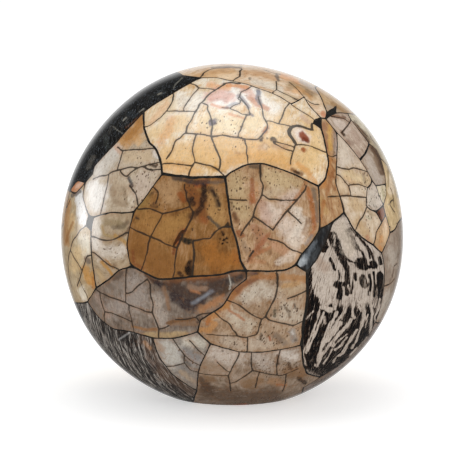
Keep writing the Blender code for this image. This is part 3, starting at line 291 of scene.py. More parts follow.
# Marks in the stone, and some painted highlights, sheen, reflections and a painted shadow: colour,
# strength, softness, radius and the line that each follows, in the same units. A radius of nought fills the
# line's inside.
STAINS_AND_PAINTED_LIGHT = {
    "slab_cream_top": [
        ("E3B475", 0.75, 0.8, 13, [(-36, 46), (-24, 48), (-12, 46)]),
        ("E2B478", 0.75, 0.8, 14, [(-16, 52), (5, 51), (28, 49)]),
        ("DCA35F", 0.65, 0.8, 7, [(-4, 42), (10, 47), (24, 45), (34, 40)]),
        ("E3B97C", 0.7, 0.8, 11, [(44, 44), (47, 52), (46, 62)]),
        ("DFA869", 0.6, 0.8, 6, [(-38, 41), (-24, 38)]),
        ("E6C08A", 0.7, 0.8, 8, [(-44, 60), (-36, 63), (-30, 66)]),
        ("D99A62", 0.5, 0.8, 4, [(-42, 55), (-37, 62), (-36, 68)]),
        # Painted sheen: a near-white patch where the polish mirrors the light above.
        ("F1E3CE", 0.75, 0.8, 7, [(-30, 79), (-24, 76), (-20, 80)]),
        ("EAD3AE", 0.7, 0.8, 6, [(-46, 68), (-42, 72), (-36, 76)]),
        ("E2A876", 0.5, 0.8, 3, [(-47, 66), (-44, 70), (-38, 77)]),
        # Painted sheen: the next two near-white patches, where the polish mirrors the light above.
        ("F3E8DA", 0.85, 0.8, 8, [(-8, 79), (0, 82), (12, 82)]),
        ("F0E4D2", 0.75, 0.8, 6, [(16, 78), (26, 74)]),
        ("EBCF9F", 0.6, 0.8, 7, [(-14, 66), (0, 64), (14, 66)]),
        ("E6BE86", 0.6, 0.8, 6, [(24, 60), (30, 70)]),
        ("E8A874", 0.7, 0.7, 2.6, [(-13, 88), (-8, 86.5), (-2, 86)]),
        ("D9A28C", 0.75, 0.8, 4.5, [(-13, 81), (-8, 83), (-2, 81)]),
        ("C98D76", 0.6, 0.7, 2.2, [(-12, 79), (-7, 80), (-3, 79)]),
        ("DDA98F", 0.7, 0.7, 2.6, [(6, 85), (10, 84), (13, 80)]),
        ("C47F55", 0.75, 0.7, 2.4, [(10, 80), (14, 77), (20, 74)]),
        ("E2945A", 0.7, 0.6, 1.4, [(-3, 87.4), (3, 87.2), (9, 86.4)]),
        ("D9824C", 0.6, 0.6, 1.1, [(-12, 76.4), (-7, 74.8), (-3, 74.6)]),
        ("D98A5A", 0.5, 0.6, 1, [(-2, 71), (3, 69.5), (7, 68.4)]),
        ("8B8A90", 0.8, 0.6, 1.5, [(3.6, 81.5), (7, 78.5), (9.2, 75)]),
        ("77767C", 0.85, 0.5, 1.7, [(15, 84), (14.6, 80), (16, 77.5)]),
        ("6E6E74", 0.8, 0.5, 1.3, [(9.6, 71.4), (11.6, 70)]),
        ("9B9BA0", 0.6, 0.7, 1.2, [(-4, 74.6), (0, 76.6), (4, 77)]),
        ("5F5B68", 0.9, 0.5, 2.5, [(-12.2, 66.2), (-10.8, 66.4)]),
        ("39333A", 0.9, 0.4, 0.9, [(-12.9, 66.9)]),
        ("39333A", 0.9, 0.4, 0.8, [(-10.2, 65.6)]),
        ("C59A78", 0.7, 0.6, 3.4, [(18.7, 51.8)]),
        ("DDBE98", 0.8, 0.6, 1.9, [(18.9, 52)]),
        ("3F3831", 0.9, 0.5, 1.5, [(16.3, 56), (17.2, 57)]),
        ("4A423B", 0.85, 0.4, 0.9, [(20, 57)]),
        ("38322C", 0.9, 0.5, 1.6, [(23, 56.6), (24.6, 56)]),
        ("AC6A4A", 0.75, 0.6, 2, [(18.5, 60.5), (20.3, 63)]),
        ("EBD5C2", 0.8, 0.6, 5, [(39.5, 59.5), (42, 56.5)]),
        ("8E4326", 0.95, 0.5, 2.9, [(40.2, 59), (42.3, 56.6)]),
        ("6E2E1A", 0.85, 0.6, 1.6, [(41.5, 56.2), (43.8, 55)]),
        ("9A4F24", 0.9, 0.5, 1.5, [(40.6, 50.6), (41.4, 49.6)]),
        ("B98D6C", 0.5, 0.7, 2.4, [(24, 52.6), (31, 51.5)]),
        ("A9794E", 0.5, 0.7, 1.5, [(2, 48.5), (4.2, 48)]),
        ("7C5230", 0.75, 0.6, 2.2, [(34.6, 38.6), (37.2, 36.8), (39.8, 36)]),
        ("33271E", 0.9, 0.5, 1.3, [(35.6, 37.4), (38.6, 36.4)]),
        ("D69552", 0.6, 0.7, 2.2, [(38, 42), (44, 37), (48, 31)]),
        ("C9A58F", 0.5, 0.7, 2, [(44, 66), (40, 70)]),
        ("B9853F", 0.5, 0.7, 1.4, [(-14, 40.5), (-4, 37)]),
    ],
    "slab_tan_crown": [
        ("D6A566", 0.7, 0.8, 4, [(-24, 91), (-12, 93.6), (0, 94)]),
        ("C18C50", 0.7, 0.7, 2.2, [(-22, 92), (-12, 95.4), (0, 96.2)]),
        ("E6C79A", 0.6, 0.7, 2, [(-8, 92.3), (2, 93)]),
        ("C8925A", 0.6, 0.7, 2.4, [(8, 95), (18, 94), (24, 92)]),
        ("DACFB2", 0.7, 0.7, 2.8, [(12, 89.8), (20, 88), (28, 85)]),
        ("C0AA80", 0.6, 0.7, 2.2, [(30, 82), (38, 79), (44, 74)]),
        ("E09A5E", 0.8, 0.6, 2.2, [(29, 93), (34, 91.5), (38, 89)]),
        ("8E6A34", 0.75, 0.7, 3.4, [(34, 88), (41, 85), (47, 81)]),
        ("B4782E", 0.7, 0.6, 1.6, [(38, 86.5), (43, 83.5), (46, 80)]),
        ("D69A5C", 0.7, 0.6, 2, [(36, 84.5), (39, 83.4)]),
        ("6A4C28", 0.7, 0.6, 1.4, [(43, 84.6), (46, 82.4)]),
        ("D8B88A", 0.6, 0.7, 2.6, [(48, 80), (54, 76)]),
        ("4A3A2B", 0.8, 0.5, 1.1, [(36, 79.6), (38.8, 78.6)]),
        ("4B3C2B", 0.8, 0.5, 1, [(10, 91.4)]),
        ("BF6E46", 0.85, 0.5, 1.6, [(52.4, 71.4), (53.4, 69.6)]),
        ("5A524A", 0.75, 0.6, 0.9, [(-12, 97.4), (-4, 98.2), (5, 98)]),
        ("3E3A38", 0.85, 0.5, 1.3, [(25.6, 93.6), (26.6, 90.6)]),
        ("A89E8E", 0.6, 0.7, 2, [(40, 90), (50, 84), (58, 77)]),
    ],
    "slab_amber": [
        ("B98747", 0.7, 0.8, 12, [(-48, 8), (-40, 2)]),
        ("9A6730", 0.75, 0.8, 12, [(-54, -6), (-48, -12), (-40, -18)]),
        ("B5742F", 0.7, 0.8, 9, [(-14, -8), (-10, -14), (-2, -14)]),
        ("C39B68", 0.75, 0.8, 8, [(-40, 28), (-36, 22), (-34, 30)]),
        ("A58648", 0.65, 0.8, 5, [(-50, 25), (-54, 18)]),
        ("BC8C4A", 0.7, 0.8, 7, [(-36, 6), (-30, 9)]),
        ("C79A5A", 0.7, 0.8, 7, [(-12, 14), (-7, 10), (-10, 22)]),
        ("B78A56", 0.7, 0.8, 4, [(-10, 29), (-6, 26)]),
        ("8A5228", 0.75, 0.7, 5.5, [(-26, 27), (-20, 22), (-17, 12)]),
        ("A8592A", 0.7, 0.7, 3.2, [(-21, 30), (-15, 31)]),
        ("9C5727", 0.8, 0.6, 2.6, [(-30.5, 24.4), (-28, 21)]),
        ("2F231B", 0.9, 0.7, 2.8, [(-16.4, 29), (-16.8, 24), (-17.6, 19.5)]),
        ("35271D", 0.9, 0.7, 2.4, [(-17.6, 17), (-21, 13.2), (-24, 11)]),
        ("37271C", 0.85, 0.7, 2.6, [(-25.8, 21.6), (-23, 19.2)]),
        ("26201B", 0.9, 0.5, 1.2, [(-24.4, 21), (-22.8, 22)]),
        ("5C4632", 0.75, 0.7, 2.4, [(-12.6, 27.4), (-9.4, 22), (-8, 18)]),
        ("2D241C", 0.85, 0.6, 1.1, [(-11.6, 26.4), (-9.8, 23.2)]),
        ("2D241C", 0.85, 0.6, 1, [(-8.6, 20.6), (-7.6, 17.4)]),
        ("4D4C40", 0.75, 0.7, 1.2, [(-14, 11.4), (-11, 8), (-7.4, 5)]),
        ("3B3835", 0.8, 0.7, 2.2, [(-34, 34), (-27, 32.4), (-21, 31), (-14, 31.6)]),
        ("5A554C", 0.6, 0.7, 1.5, [(-14, 31), (-8, 31.4), (-5, 32)]),
        ("A9602F", 0.45, 0.8, 2.4, [(-17.4, 10.4), (-15.4, 8)]),
        ("B24A20", 0.9, 0.6, 1.5, [(-27.8, 3.4), (-30.4, 1), (-33, -4)]),
        ("2A201A", 0.9, 0.5, 0.8, [(-28.2, 1.6), (-30, -2), (-32.2, -6.6)]),
        ("22261F", 0.95, 0.6, 0, [(-30, -1), (-29, -3.9), (-26, -5), (-22.6, -4.2), (-21.6, -2.4),
            (-28, -0.8)]),
        ("7A3C1C", 0.8, 0.5, 1.3, [(-33.6, -7.4), (-33.8, -10)]),
        ("1E1813", 0.97, 0.8, 0, [(-25, -13.6), (-23, -13.6), (-23, -23.2), (-27, -22.9), (-28.2, -20),
            (-27.4, -17.4)]),
        ("3A281C", 0.85, 0.6, 1.7, [(-31, -21.6), (-29, -23)]),
        ("23261E", 0.95, 0.6, 0, [(-5, 5.2), (-2.7, 10.2), (-0.8, 5.2)]),
        ("17120F", 0.95, 0.5, 1.1, [(-6, 2.4), (-5.4, 0.8)]),
        ("17120F", 0.95, 0.5, 0.9, [(-7.2, -1.5)]),
        ("17120F", 0.95, 0.5, 1, [(-5, -2.3)]),
        ("17120F", 0.95, 0.5, 0.9, [(-3.4, -1.2)]),
        ("17120F", 0.95, 0.5, 0.9, [(-5.8, -4.3)]),
        ("17120F", 0.95, 0.5, 0.8, [(-3, -3.7)]),
        ("17120F", 0.9, 0.5, 0.7, [(-7.6, -3.6)]),
        ("B9702F", 0.4, 0.8, 2.8, [(1.4, -9), (2.6, -14)]),
        ("8C4E28", 0.6, 0.7, 1.6, [(-58, -9), (-57, -16), (-52, -19)]),
        ("4B3A2A", 0.8, 0.6, 1.1, [(-56, 10.8), (-54.6, 10)]),
        ("5B4026", 0.7, 0.6, 1.4, [(-44.8, 19.4), (-46.8, 17.2), (-44, 17)]),
        ("6B4E32", 0.7, 0.6, 1, [(-48, 23.6), (-45.6, 25.6)]),
    ],
    "slab_pink_centre": [
        ("BBA581", 0.85, 0.8, 9, [(1, 33), (2, 24), (5, 14)]),
        ("C8B38F", 0.8, 0.8, 9, [(22, 34), (34, 31)]),
        ("CDBBA2", 0.7, 0.8, 6, [(26, 26), (20, 24)]),
        ("DCCEC6", 0.85, 0.8, 9, [(22, 14), (30, 8), (36, 1)]),
        ("E9E1DA", 0.75, 0.8, 5, [(36, 15), (40, 8), (35, -3)]),
        ("D8C6BE", 0.7, 0.8, 6, [(30, 20), (36, 24)]),
        ("B9958A", 0.55, 0.8, 5, [(17, 19), (20, 9)]),
        ("9C6A50", 0.7, 0.7, 4.2, [(13, 5), (17, 0), (15, -5)]),
        ("B98A70", 0.6, 0.8, 5, [(24, -5), (30, -9)]),
        ("DDCFC4", 0.75, 0.7, 3.4, [(38, -4), (34, -12), (27, -15)]),
        ("98593A", 0.7, 0.8, 2.2, [(21, 1), (16, -5), (10.4, -12.6)]),
        ("A4623A", 0.6, 0.8, 1.5, [(12, -11.6), (17, -9), (22, -6.4)]),
        ("B0714A", 0.4, 0.8, 2.2, [(8.6, -14.6), (13, -14), (18, -15)]),
        ("8E4F2C", 0.75, 0.7, 1.7, [(11.4, 33), (11.6, 26), (10.6, 19)]),
        ("9E5A30", 0.8, 0.6, 2.3, [(11.4, 23.4), (12, 20.6)]),
        ("B88A60", 0.6, 0.7, 1.6, [(14, 31), (14.4, 24)]),
        ("6B3E20", 0.85, 0.7, 2.6, [(1.2, 12.4), (2.6, 8.8)]),
        ("3E2415", 0.85, 0.6, 1.2, [(0.8, 13), (1.8, 10.4)]),
        ("8A4824", 0.8, 0.6, 1.9, [(3.4, 2.6), (5, 0.4)]),
        ("7E6A4E", 0.6, 0.7, 1.4, [(-1, 20), (-0.4, 16)]),
        ("43403A", 0.9, 0.5, 2, [(11, 41), (15.4, 40.2)]),
        ("43403A", 0.85, 0.5, 1.2, [(15.8, 39), (16.2, 35.4)]),
        ("A96E40", 0.7, 0.7, 1.6, [(42.6, 31), (39.6, 25.4), (35, 19.4)]),
        ("B98C6C", 0.55, 0.7, 1.4, [(33, 17), (27.6, 9.6), (23.4, 4)]),
        ("A3602F", 0.85, 0.7, 2.2, [(43.6, 28), (45.6, 21), (47.4, 12)]),
        ("6E645C", 0.75, 0.6, 1.5, [(46.6, 27.4), (48.6, 19), (49.4, 9)]),
        ("B06434", 0.6, 0.8, 1.7, [(47, 10), (47.6, 4), (45.6, 1)]),
        ("8B8D92", 0.6, 0.7, 1.6, [(46, 0.4), (43, -4.6)]),
        ("B59A86", 0.6, 0.7, 1.6, [(42.4, 5), (40.6, 2)]),
        ("5B3A28", 0.8, 0.6, 1, [(11.8, -9), (10, -11.8), (8.6, -14.6)]),
        ("8A7460", 0.6, 0.7, 2.4, [(6.4, -4), (8, -8)]),
    ],
    "slab_pale_left": [
        ("C8955B", 0.85, 0.7, 6.2, [(-63, 55), (-57, 59), (-53, 66)]),
        ("A9763F", 0.75, 0.7, 3, [(-62, 57.4), (-56, 62), (-53, 69)]),
        ("E0B98A", 0.6, 0.7, 2.8, [(-55, 54), (-51, 58)]),
        ("DBD3C8", 0.8, 0.8, 7.5, [(-78, 38), (-73, 44), (-69, 49)]),
        ("D8A98A", 0.6, 0.7, 2, [(-68, 52), (-65, 48.6)]),
        ("CDB595", 0.8, 0.7, 5.2, [(-61, 46.6), (-50, 46.4)]),
        ("BBA58A", 0.75, 0.8, 6.5, [(-69, 31), (-66, 21), (-62, 26)]),
        ("A08A70", 0.6, 0.7, 2.6, [(-70, 28), (-68, 20), (-62, 18)]),
        ("8F7A60", 0.55, 0.7, 1.6, [(-63, 27), (-61.4, 19)]),
        ("C9B6A4", 0.75, 0.8, 7, [(-52, 34), (-54, 25), (-49, 29)]),
        # Painted highlight: a near-white patch where the polish mirrors the tall window on the left.
        ("E6E0D8", 0.9, 0.8, 6, [(-80, 29), (-79, 18), (-76, 27)]),
        ("CBB592", 0.6, 0.7, 3, [(-50, 19.8), (-54, 16.4)]),
        ("E9E3DA", 0.8, 0.6, 1.5, [(-45.6, 49), (-43.4, 46)]),
        ("4A484A", 0.85, 0.6, 1.6, [(-60.4, 34.2), (-59, 31), (-58.4, 29.4)]),
        ("35302C", 0.85, 0.6, 1.2, [(-47.8, 41.6), (-44.6, 40.4)]),
    ],
    "slab_orange_chip": [
        ("C9835A", 0.7, 0.7, 2.4, [(-93, 27.4), (-89.6, 31)]),
        ("E4C2AC", 0.7, 0.7, 1.4, [(-91, 28.4), (-88, 31.4)]),
    ],
    "slab_swirl_left": [
        # Painted highlight: a near-white patch where the polish mirrors the tall window on the left.
        ("E3D9C9", 0.8, 0.8, 4.6, [(-80, 9), (-79, 0), (-79.6, -6)]),
        ("DCD0BF", 0.7, 0.8, 6, [(-76, -9), (-70, -9), (-64, -8)]),
        ("8F7C5A", 0.6, 0.7, 3, [(-73, 8), (-67, 8), (-63, 5)]),
        ("A58A58", 0.6, 0.7, 1.4, [(-76, 6), (-74.4, 1), (-70, -0.6)]),
        ("6A5B48", 0.65, 0.7, 2, [(-69, 5), (-64, 5.4), (-61, 8)]),
        ("4E4438", 0.7, 0.7, 1.4, [(-64, 0.4), (-61.4, 2), (-60, 5)]),
        ("B68B48", 0.6, 0.7, 1.8, [(-68, 0.4), (-63, -3), (-60.4, -6)]),
        ("BB8A44", 0.8, 0.6, 1.1, [(-76, -15), (-72, -19.4), (-69.6, -22.6)]),
        ("A87636", 0.7, 0.5, 0.7, [(-73.6, -13.6), (-69, -18.6)]),
        ("B89A6C", 0.6, 0.7, 2.4, [(-78, -20), (-75, -26)]),
    ],
    "slab_far_left": [
        # Painted highlight: a near-white patch where the polish mirrors the tall window on the left.
        ("F1EDE6", 0.9, 0.7, 4.6, [(-89, 24), (-87.6, 15), (-86.6, 9)]),
        ("B98650", 0.8, 0.7, 2.8, [(-95.6, 20), (-96.6, 8), (-96.6, -4)]),
        ("D9B480", 0.7, 0.7, 2.6, [(-93.6, 12), (-94, 4)]),
        ("E9DDC6", 0.8, 0.8, 5, [(-86, -2), (-85, -9)]),
        ("DDBD8C", 0.7, 0.8, 5, [(-90, -9), (-92, -18)]),
        ("C68E48", 0.75, 0.7, 2.8, [(-86, -19), (-82.6, -27), (-81.4, -22)]),
        ("B9793A", 0.7, 0.6, 1.4, [(-81, -30), (-80.4, -24)]),
        ("E9DCC6", 0.7, 0.7, 2.8, [(-87.6, -31), (-86, -36)]),
        ("6D645C", 0.75, 0.6, 1.9, [(-84.6, -13.4), (-83.2, -15)]),
        ("5E554D", 0.8, 0.6, 1.7, [(-93, 23.6), (-89, 26)]),
        ("9B6A3A", 0.7, 0.6, 0.9, [(-93, 8), (-94.5, 4), (-96, 0.5), (-96.5, -3.5)]),
    ],
    "slab_grey_lower": [
        ("A79A90", 0.7, 0.8, 9, [(-58, -28), (-54, -36), (-68, -42)]),
        ("B3A69A", 0.6, 0.8, 6, [(-44, -36), (-44, -44), (-40, -50)]),
        ("8E8074", 0.6, 0.8, 5, [(-70, -32), (-66, -27)]),
        ("5A4C42", 0.8, 0.7, 2.8, [(-68.6, -24.4), (-65, -21.4)]),
        ("6F6054", 0.6, 0.7, 2.4, [(-73, -27), (-70, -30)]),
        ("A79183", 0.6, 0.7, 2.6, [(-79, -34), (-76, -40), (-72, -46)]),
        ("493A33", 0.9, 0.7, 7.5, [(-37, -28), (-27, -33), (-15, -32), (-6, -27)]),
        ("3A3030", 0.85, 0.7, 4.6, [(-34, -35), (-26, -40), (-18, -39)]),
        ("6A4630", 0.85, 0.7, 3.6, [(-36, -25), (-22, -24.4), (-8, -23.6)]),
        ("7C5236", 0.7, 0.7, 2.4, [(-6, -22.4), (3, -22), (7, -21)]),
        ("33292A", 0.85, 0.6, 1.8, [(-50, -22), (-46, -26), (-41, -28.6)]),
        ("8E6A4E", 0.6, 0.7, 1.8, [(-40, -30), (-38, -36), (-37, -42)]),
        ("3A322F", 0.85, 0.7, 3, [(-2, -26), (4, -25), (6, -22)]),
        ("4E3A2C", 0.8, 0.7, 2.6, [(-6, -34), (-2, -30)]),
        ("9B5F2F", 0.7, 0.6, 1.2, [(-26, -24.4), (-16, -23.6), (-9, -23)]),
        ("A98870", 0.6, 0.8, 2.3, [(-25, -29.4), (-20, -31), (-16, -30.4)]),
        ("B0764E", 0.7, 0.7, 1.2, [(-24, -31.6), (-19, -33)]),
        ("A5ABB2", 0.65, 0.7, 0.8, [(-20.4, -37.4), (-17.4, -35.4), (-14, -33.4)]),
        ("7E7F85", 0.7, 0.7, 1.6, [(-23, -39), (-19, -36.4), (-12, -32)]),
        ("A67A56", 0.8, 0.7, 3.4, [(-18, -43), (-12, -39), (-7, -37)]),
        ("A9734E", 0.55, 0.8, 1.6, [(-16, -41), (-10, -37.6), (-5, -34)]),
        ("8A6A50", 0.7, 0.7, 2.6, [(-36, -50), (-26, -50.6), (-16, -50.4)]),
        ("6E4C30", 0.75, 0.6, 1.4, [(-38, -50.4), (-30, -48.6), (-22, -48)]),
        ("B59A72", 0.75, 0.7, 2.4, [(-50, -57), (-40, -57.4), (-28, -56.6)]),
        ("9A6A3E", 0.6, 0.6, 1.3, [(-58, -52.4), (-50, -54.4), (-44, -54)]),
        ("4A3E38", 0.85, 0.6, 1.5, [(-20, -50), (-17.4, -48.6)]),
        ("C8C2B6", 0.7, 0.6, 0.6, [(-2, -22.4), (-1, -27), (-1.6, -31)]),
    ],
    "slab_cream_lower": [
        ("DACBB2", 0.8, 0.8, 7, [(8, -35), (16, -31), (22, -33)]),
        ("D5C4A8", 0.75, 0.8, 7, [(0, -46), (8, -52)]),
        ("D4C4AA", 0.75, 0.8, 7, [(32, -42), (38, -46), (30, -47)]),
        ("CBB08A", 0.7, 0.8, 6, [(33, -31), (39, -29)]),
        ("CFBCA2", 0.7, 0.8, 6, [(-4, -60), (4, -63), (20, -62)]),
        ("C7A27C", 0.6, 0.8, 5, [(-8, -46), (-4, -42)]),
        ("A8662E", 0.85, 0.7, 3.4, [(-4, -38.6), (1, -33.4), (7, -28)]),
        ("7E4220", 0.85, 0.7, 2.4, [(3, -31), (8, -27), (14, -24.6)]),
        ("AD6E36", 0.8, 0.7, 2.6, [(12, -22.8), (20, -23.6), (25, -23)]),
        ("B97C3E", 0.75, 0.7, 3, [(29, -23.6), (36, -24), (42, -25)]),
        ("CE9A5A", 0.6, 0.7, 2.4, [(30, -29), (38, -27.6)]),
        ("4C3424", 0.8, 0.6, 1.4, [(4, -24.6), (9, -22.2), (14, -21.6)]),
        ("C4823E", 0.85, 0.7, 3.2, [(-13, -48), (-9.6, -43.4), (-4, -39.6)]),
        ("B86A2C", 0.85, 0.6, 1.6, [(-14.6, -51), (-13.4, -47)]),
        ("C98A48", 0.75, 0.7, 2.6, [(-18, -54.4), (-14, -55), (-10, -51)]),
        ("B5652E", 0.7, 0.6, 0.9, [(-2, -43), (3, -46), (7, -49)]),
        ("39332D", 0.9, 0.5, 1.2, [(25.8, -24), (26.2, -28.6)]),
        ("55503F", 0.9, 0.6, 1.3, [(24.6, -43), (24.4, -46)]),
        ("5C5244", 0.85, 0.6, 1.2, [(31, -41.6), (31.8, -43)]),
        ("4A4038", 0.9, 0.6, 1.3, [(36, -40), (36.8, -42)]),
        ("6A5C4A", 0.8, 0.6, 1, [(33, -45.6), (33.4, -47)]),
        ("5C5244", 0.8, 0.6, 0.8, [(28.4, -41)]),
        ("4E463A", 0.85, 0.6, 1.1, [(16.5, -57), (16.2, -60)]),
        ("A8572E", 0.8, 0.6, 1, [(21.4, -58.4), (22, -60.4)]),
        ("9A948A", 0.75, 0.7, 3, [(35, -56), (35.6, -60)]),
        ("E2D8C8", 0.8, 0.6, 1.3, [(35, -56.6)]),
        ("54483C", 0.85, 0.6, 1.2, [(36.6, -60.4)]),
        ("77685A", 0.6, 0.7, 3, [(30, -62), (25, -58)]),
        ("8C4E2C", 0.7, 0.6, 0.9, [(-9, -42.4), (-7, -44)]),
        ("4B3E4A", 0.85, 0.6, 0.9, [(11, -21.4), (13.6, -21.8)]),
    ],
    "slab_beige_lower": [
        ("C6BEB0", 0.75, 0.8, 6, [(-38, -65), (-34, -73), (-32, -67)]),
        ("CDC2AE", 0.7, 0.8, 5, [(-26, -61), (-18, -62)]),
        ("96908A", 0.7, 0.8, 4.4, [(-28, -67), (-24, -70), (-20, -72)]),
        ("6C665F", 0.75, 0.7, 1.6, [(-29, -69.6), (-27.4, -72), (-25, -75)]),
        ("8A847C", 0.6, 0.7, 2, [(-32, -75), (-25, -78)]),
        ("A98E76", 0.75, 0.7, 2.6, [(-45, -61.4), (-41, -66)]),
        ("B0977A", 0.6, 0.7, 2, [(-30, -79), (-23, -84)]),
    ],
    "slab_brown_lower": [
        ("B9ADA0", 0.8, 0.8, 7.5, [(-10, -67), (-2, -71), (4, -68)]),
        ("B3A79A", 0.75, 0.8, 6, [(14, -70), (20, -74)]),
        ("C2B8AC", 0.8, 0.8, 4.6, [(29, -68), (36, -70)]),
        ("8C7660", 0.7, 0.8, 5, [(-16, -76), (-8, -78)]),
        # Painted shadow: a dark band along the ball's lowest edge, where it meets the floor.
        ("5E4B3C", 0.8, 0.8, 8, [(-16, -90), (4, -94), (24, -92)]),
        ("4E3C2E", 0.75, 0.7, 4, [(-18, -84), (-14, -89)]),
        ("7B6046", 0.7, 0.7, 2.4, [(-15, -82.6), (-11, -83.4)]),
        ("86694C", 0.7, 0.8, 4.6, [(8, -86), (16, -84)]),
        ("7A5C40", 0.75, 0.7, 4.6, [(32, -78), (40, -80)]),
        ("9B7552", 0.6, 0.7, 3, [(22, -84), (30, -86)]),
        ("33261D", 0.85, 0.6, 1.7, [(38.6, -83), (42, -85)]),
        ("4C3727", 0.8, 0.6, 1.3, [(32.6, -74), (34, -77)]),
        ("4C3727", 0.8, 0.6, 1.1, [(37, -76)]),
        ("3B302A", 0.85, 0.6, 1, [(26.2, -69.6), (26.2, -74)]),
        ("55463B", 0.8, 0.5, 0.8, [(-5.7, -66.6)]),
        ("9E5C36", 0.6, 0.6, 0.8, [(26, -86), (31, -86.6)]),
        ("A65E38", 0.5, 0.6, 1.2, [(-2, -99), (8, -98)]),
    ],
    "slab_streaked_lower": [
        ("5F4A3C", 0.7, 0.7, 4.6, [(-52, -60), (-46, -68), (-42, -78)]),
        ("A4764E", 0.75, 0.6, 1.5, [(-51, -61.6), (-48, -65)]),
        ("30241F", 0.85, 0.6, 1.6, [(-47, -70), (-45, -77)]),
        ("8A7466", 0.6, 0.7, 1.6, [(-50, -70), (-46, -74)]),
        ("6A5444", 0.7, 0.8, 5, [(-40, -80), (-32, -86), (-24, -90)]),
        ("2C2422", 0.8, 0.6, 1.5, [(-36, -86), (-28, -91)]),
        ("B9B5B0", 0.6, 0.6, 0.8, [(-60, -56), (-66, -60)]),
    ],
    "slab_rim_lower": [
        ("A79C92", 0.6, 0.8, 4, [(60, -74), (74, -60)]),
        ("6C5A4A", 0.6, 0.7, 2, [(48, -84), (56, -79)]),
    ],
    "slab_mauve_upper": [
        ("CDBFB5", 0.7, 0.8, 4, [(61, 66), (66, 62)]),
        ("7A5A48", 0.75, 0.6, 1.3, [(57.6, 70), (61, 69.4), (65, 68.4)]),
        ("8D7669", 0.75, 0.7, 2, [(66, 55), (69.6, 53.6)]),
        ("B09A8C", 0.6, 0.8, 3, [(70, 60), (73, 54)]),
        ("A78E80", 0.6, 0.7, 2, [(72, 49), (74, 46)]),
        ("3A2E26", 0.9, 0.6, 1.3, [(63.4, 60.2), (64.6, 58.6)]),
    ],
    "slab_pale_shoulder": [
        ("DDD8C8", 0.7, 0.8, 3.4, [(66, 69), (74, 62)]),
        ("5E4A3B", 0.85, 0.7, 1.9, [(70, 65.6), (74.6, 60.6), (78.6, 55)]),
        ("A89A84", 0.6, 0.7, 2, [(80, 57), (86, 47)]),
    ],
    "slab_brown_shoulder": [
        ("B9A99C", 0.75, 0.8, 4, [(77, 47), (82, 38), (85, 32)]),
        ("6B5340", 0.9, 0.6, 2.6, [(80.6, 53), (84.6, 45), (87, 37)]),
        ("46362A", 0.8, 0.6, 0.9, [(79.6, 54.6), (85.6, 44.6), (88.6, 36)]),
        ("8A735E", 0.7, 0.6, 1.2, [(82.4, 46), (85, 39)]),
    ],
    "slab_rust_strip": [
        ("A66A38", 0.7, 0.8, 4, [(55, 64), (56, 52), (55, 38)]),
        ("8C5238", 0.85, 0.7, 1.9, [(53.2, 65), (54.4, 58), (54.8, 50)]),
        ("C98F3C", 0.9, 0.6, 1.5, [(56.6, 64), (56.4, 57), (56.6, 50)]),
        ("B4A090", 0.8, 0.6, 1.5, [(60, 61), (60, 53), (60.4, 46)]),
        ("6A5A50", 0.7, 0.6, 0.8, [(59, 62), (59.4, 54), (58.6, 46)]),
        ("3A2C24", 0.85, 0.5, 0.8, [(58.8, 47.6), (59.2, 49)]),
        ("BD6F2C", 0.85, 0.7, 2.6, [(56, 44), (55, 38), (52.6, 30)]),
        ("8D4C20", 0.85, 0.6, 1.4, [(58.4, 38), (57, 32), (54.6, 24)]),
        ("CDA56A", 0.75, 0.7, 2.2, [(51.4, 40), (51, 34)]),
        ("B98A50", 0.7, 0.7, 2.6, [(51, 22), (54, 14)]),
        ("A85A24", 0.75, 0.6, 1.3, [(53, 20), (52, 14), (51, 8)]),
    ],
    "slab_tan_shoulder": [
        ("B8A998", 0.6, 0.8, 4, [(56, 74), (66, 68)]),
        ("A17C50", 0.6, 0.7, 2, [(58, 77), (66, 72)]),
    ],
    "slab_tan_right": [
        ("CDBDAA", 0.85, 0.8, 6.5, [(63, 55), (67, 46), (64, 44)]),
        ("BBA794", 0.6, 0.8, 3, [(69, 50), (72, 44)]),
        ("D8BC8C", 0.85, 0.8, 4.2, [(66, 36), (72, 34), (77, 32)]),
        ("CFB28C", 0.8, 0.8, 4.4, [(62, 30), (64, 26)]),
        ("C99C60", 0.6, 0.7, 2, [(66, 34.6), (70, 31)]),
        ("C4A272", 0.85, 0.8, 5, [(70, 19), (74, 17)]),
        ("C0975C", 0.7, 0.8, 4, [(58, 19), (62, 16)]),
        ("B9935E", 0.7, 0.8, 4.4, [(72, 8), (77, 2), (80, -3)]),
        ("8E7A54", 0.7, 0.6, 1.2, [(78.4, 14.6), (81.6, 12)]),
        ("7E8060", 0.6, 0.6, 0.9, [(77.6, 11.4), (80, 10)]),
        ("A85C30", 0.75, 0.6, 1.5, [(78.2, -0.6), (79.4, -3)]),
        ("4A3C30", 0.85, 0.5, 1.1, [(64.6, 13.8), (65.4, 12.4)]),
        ("6C5B48", 0.65, 0.6, 1.2, [(76, 36), (77, 31)]),
        ("7F4E2C", 0.7, 0.6, 0.9, [(62, 23.4), (67, 23.8)]),
    ],
    "slab_speckled": [
        ("D2C2B4", 0.6, 0.8, 3, [(82, 28), (85, 20)]),
        ("8E8070", 0.6, 0.7, 1.6, [(80.6, 20), (83, 17)]),
    ],
    "slab_cream_sliver": [
        ("8E845C", 0.8, 0.6, 0.9, [(86, 23)]),
        ("857C58", 0.8, 0.6, 0.8, [(88, 23.6)]),
        ("B9AC8A", 0.6, 0.7, 1.2, [(87, 28), (88, 20)]),
    ],
    "slab_red_wedge": [
        ("7A4426", 0.7, 0.7, 1.5, [(86.6, 14), (87.4, 10)]),
        ("3A190C", 0.7, 0.6, 0.8, [(85, 13.6), (87, 9)]),
    ],
    "slab_khaki_rim": [
        ("D9CFBC", 0.7, 0.8, 3, [(91, 34), (92.6, 26)]),
        ("8E7C58", 0.75, 0.6, 0.8, [(90.4, 38), (90.8, 29)]),
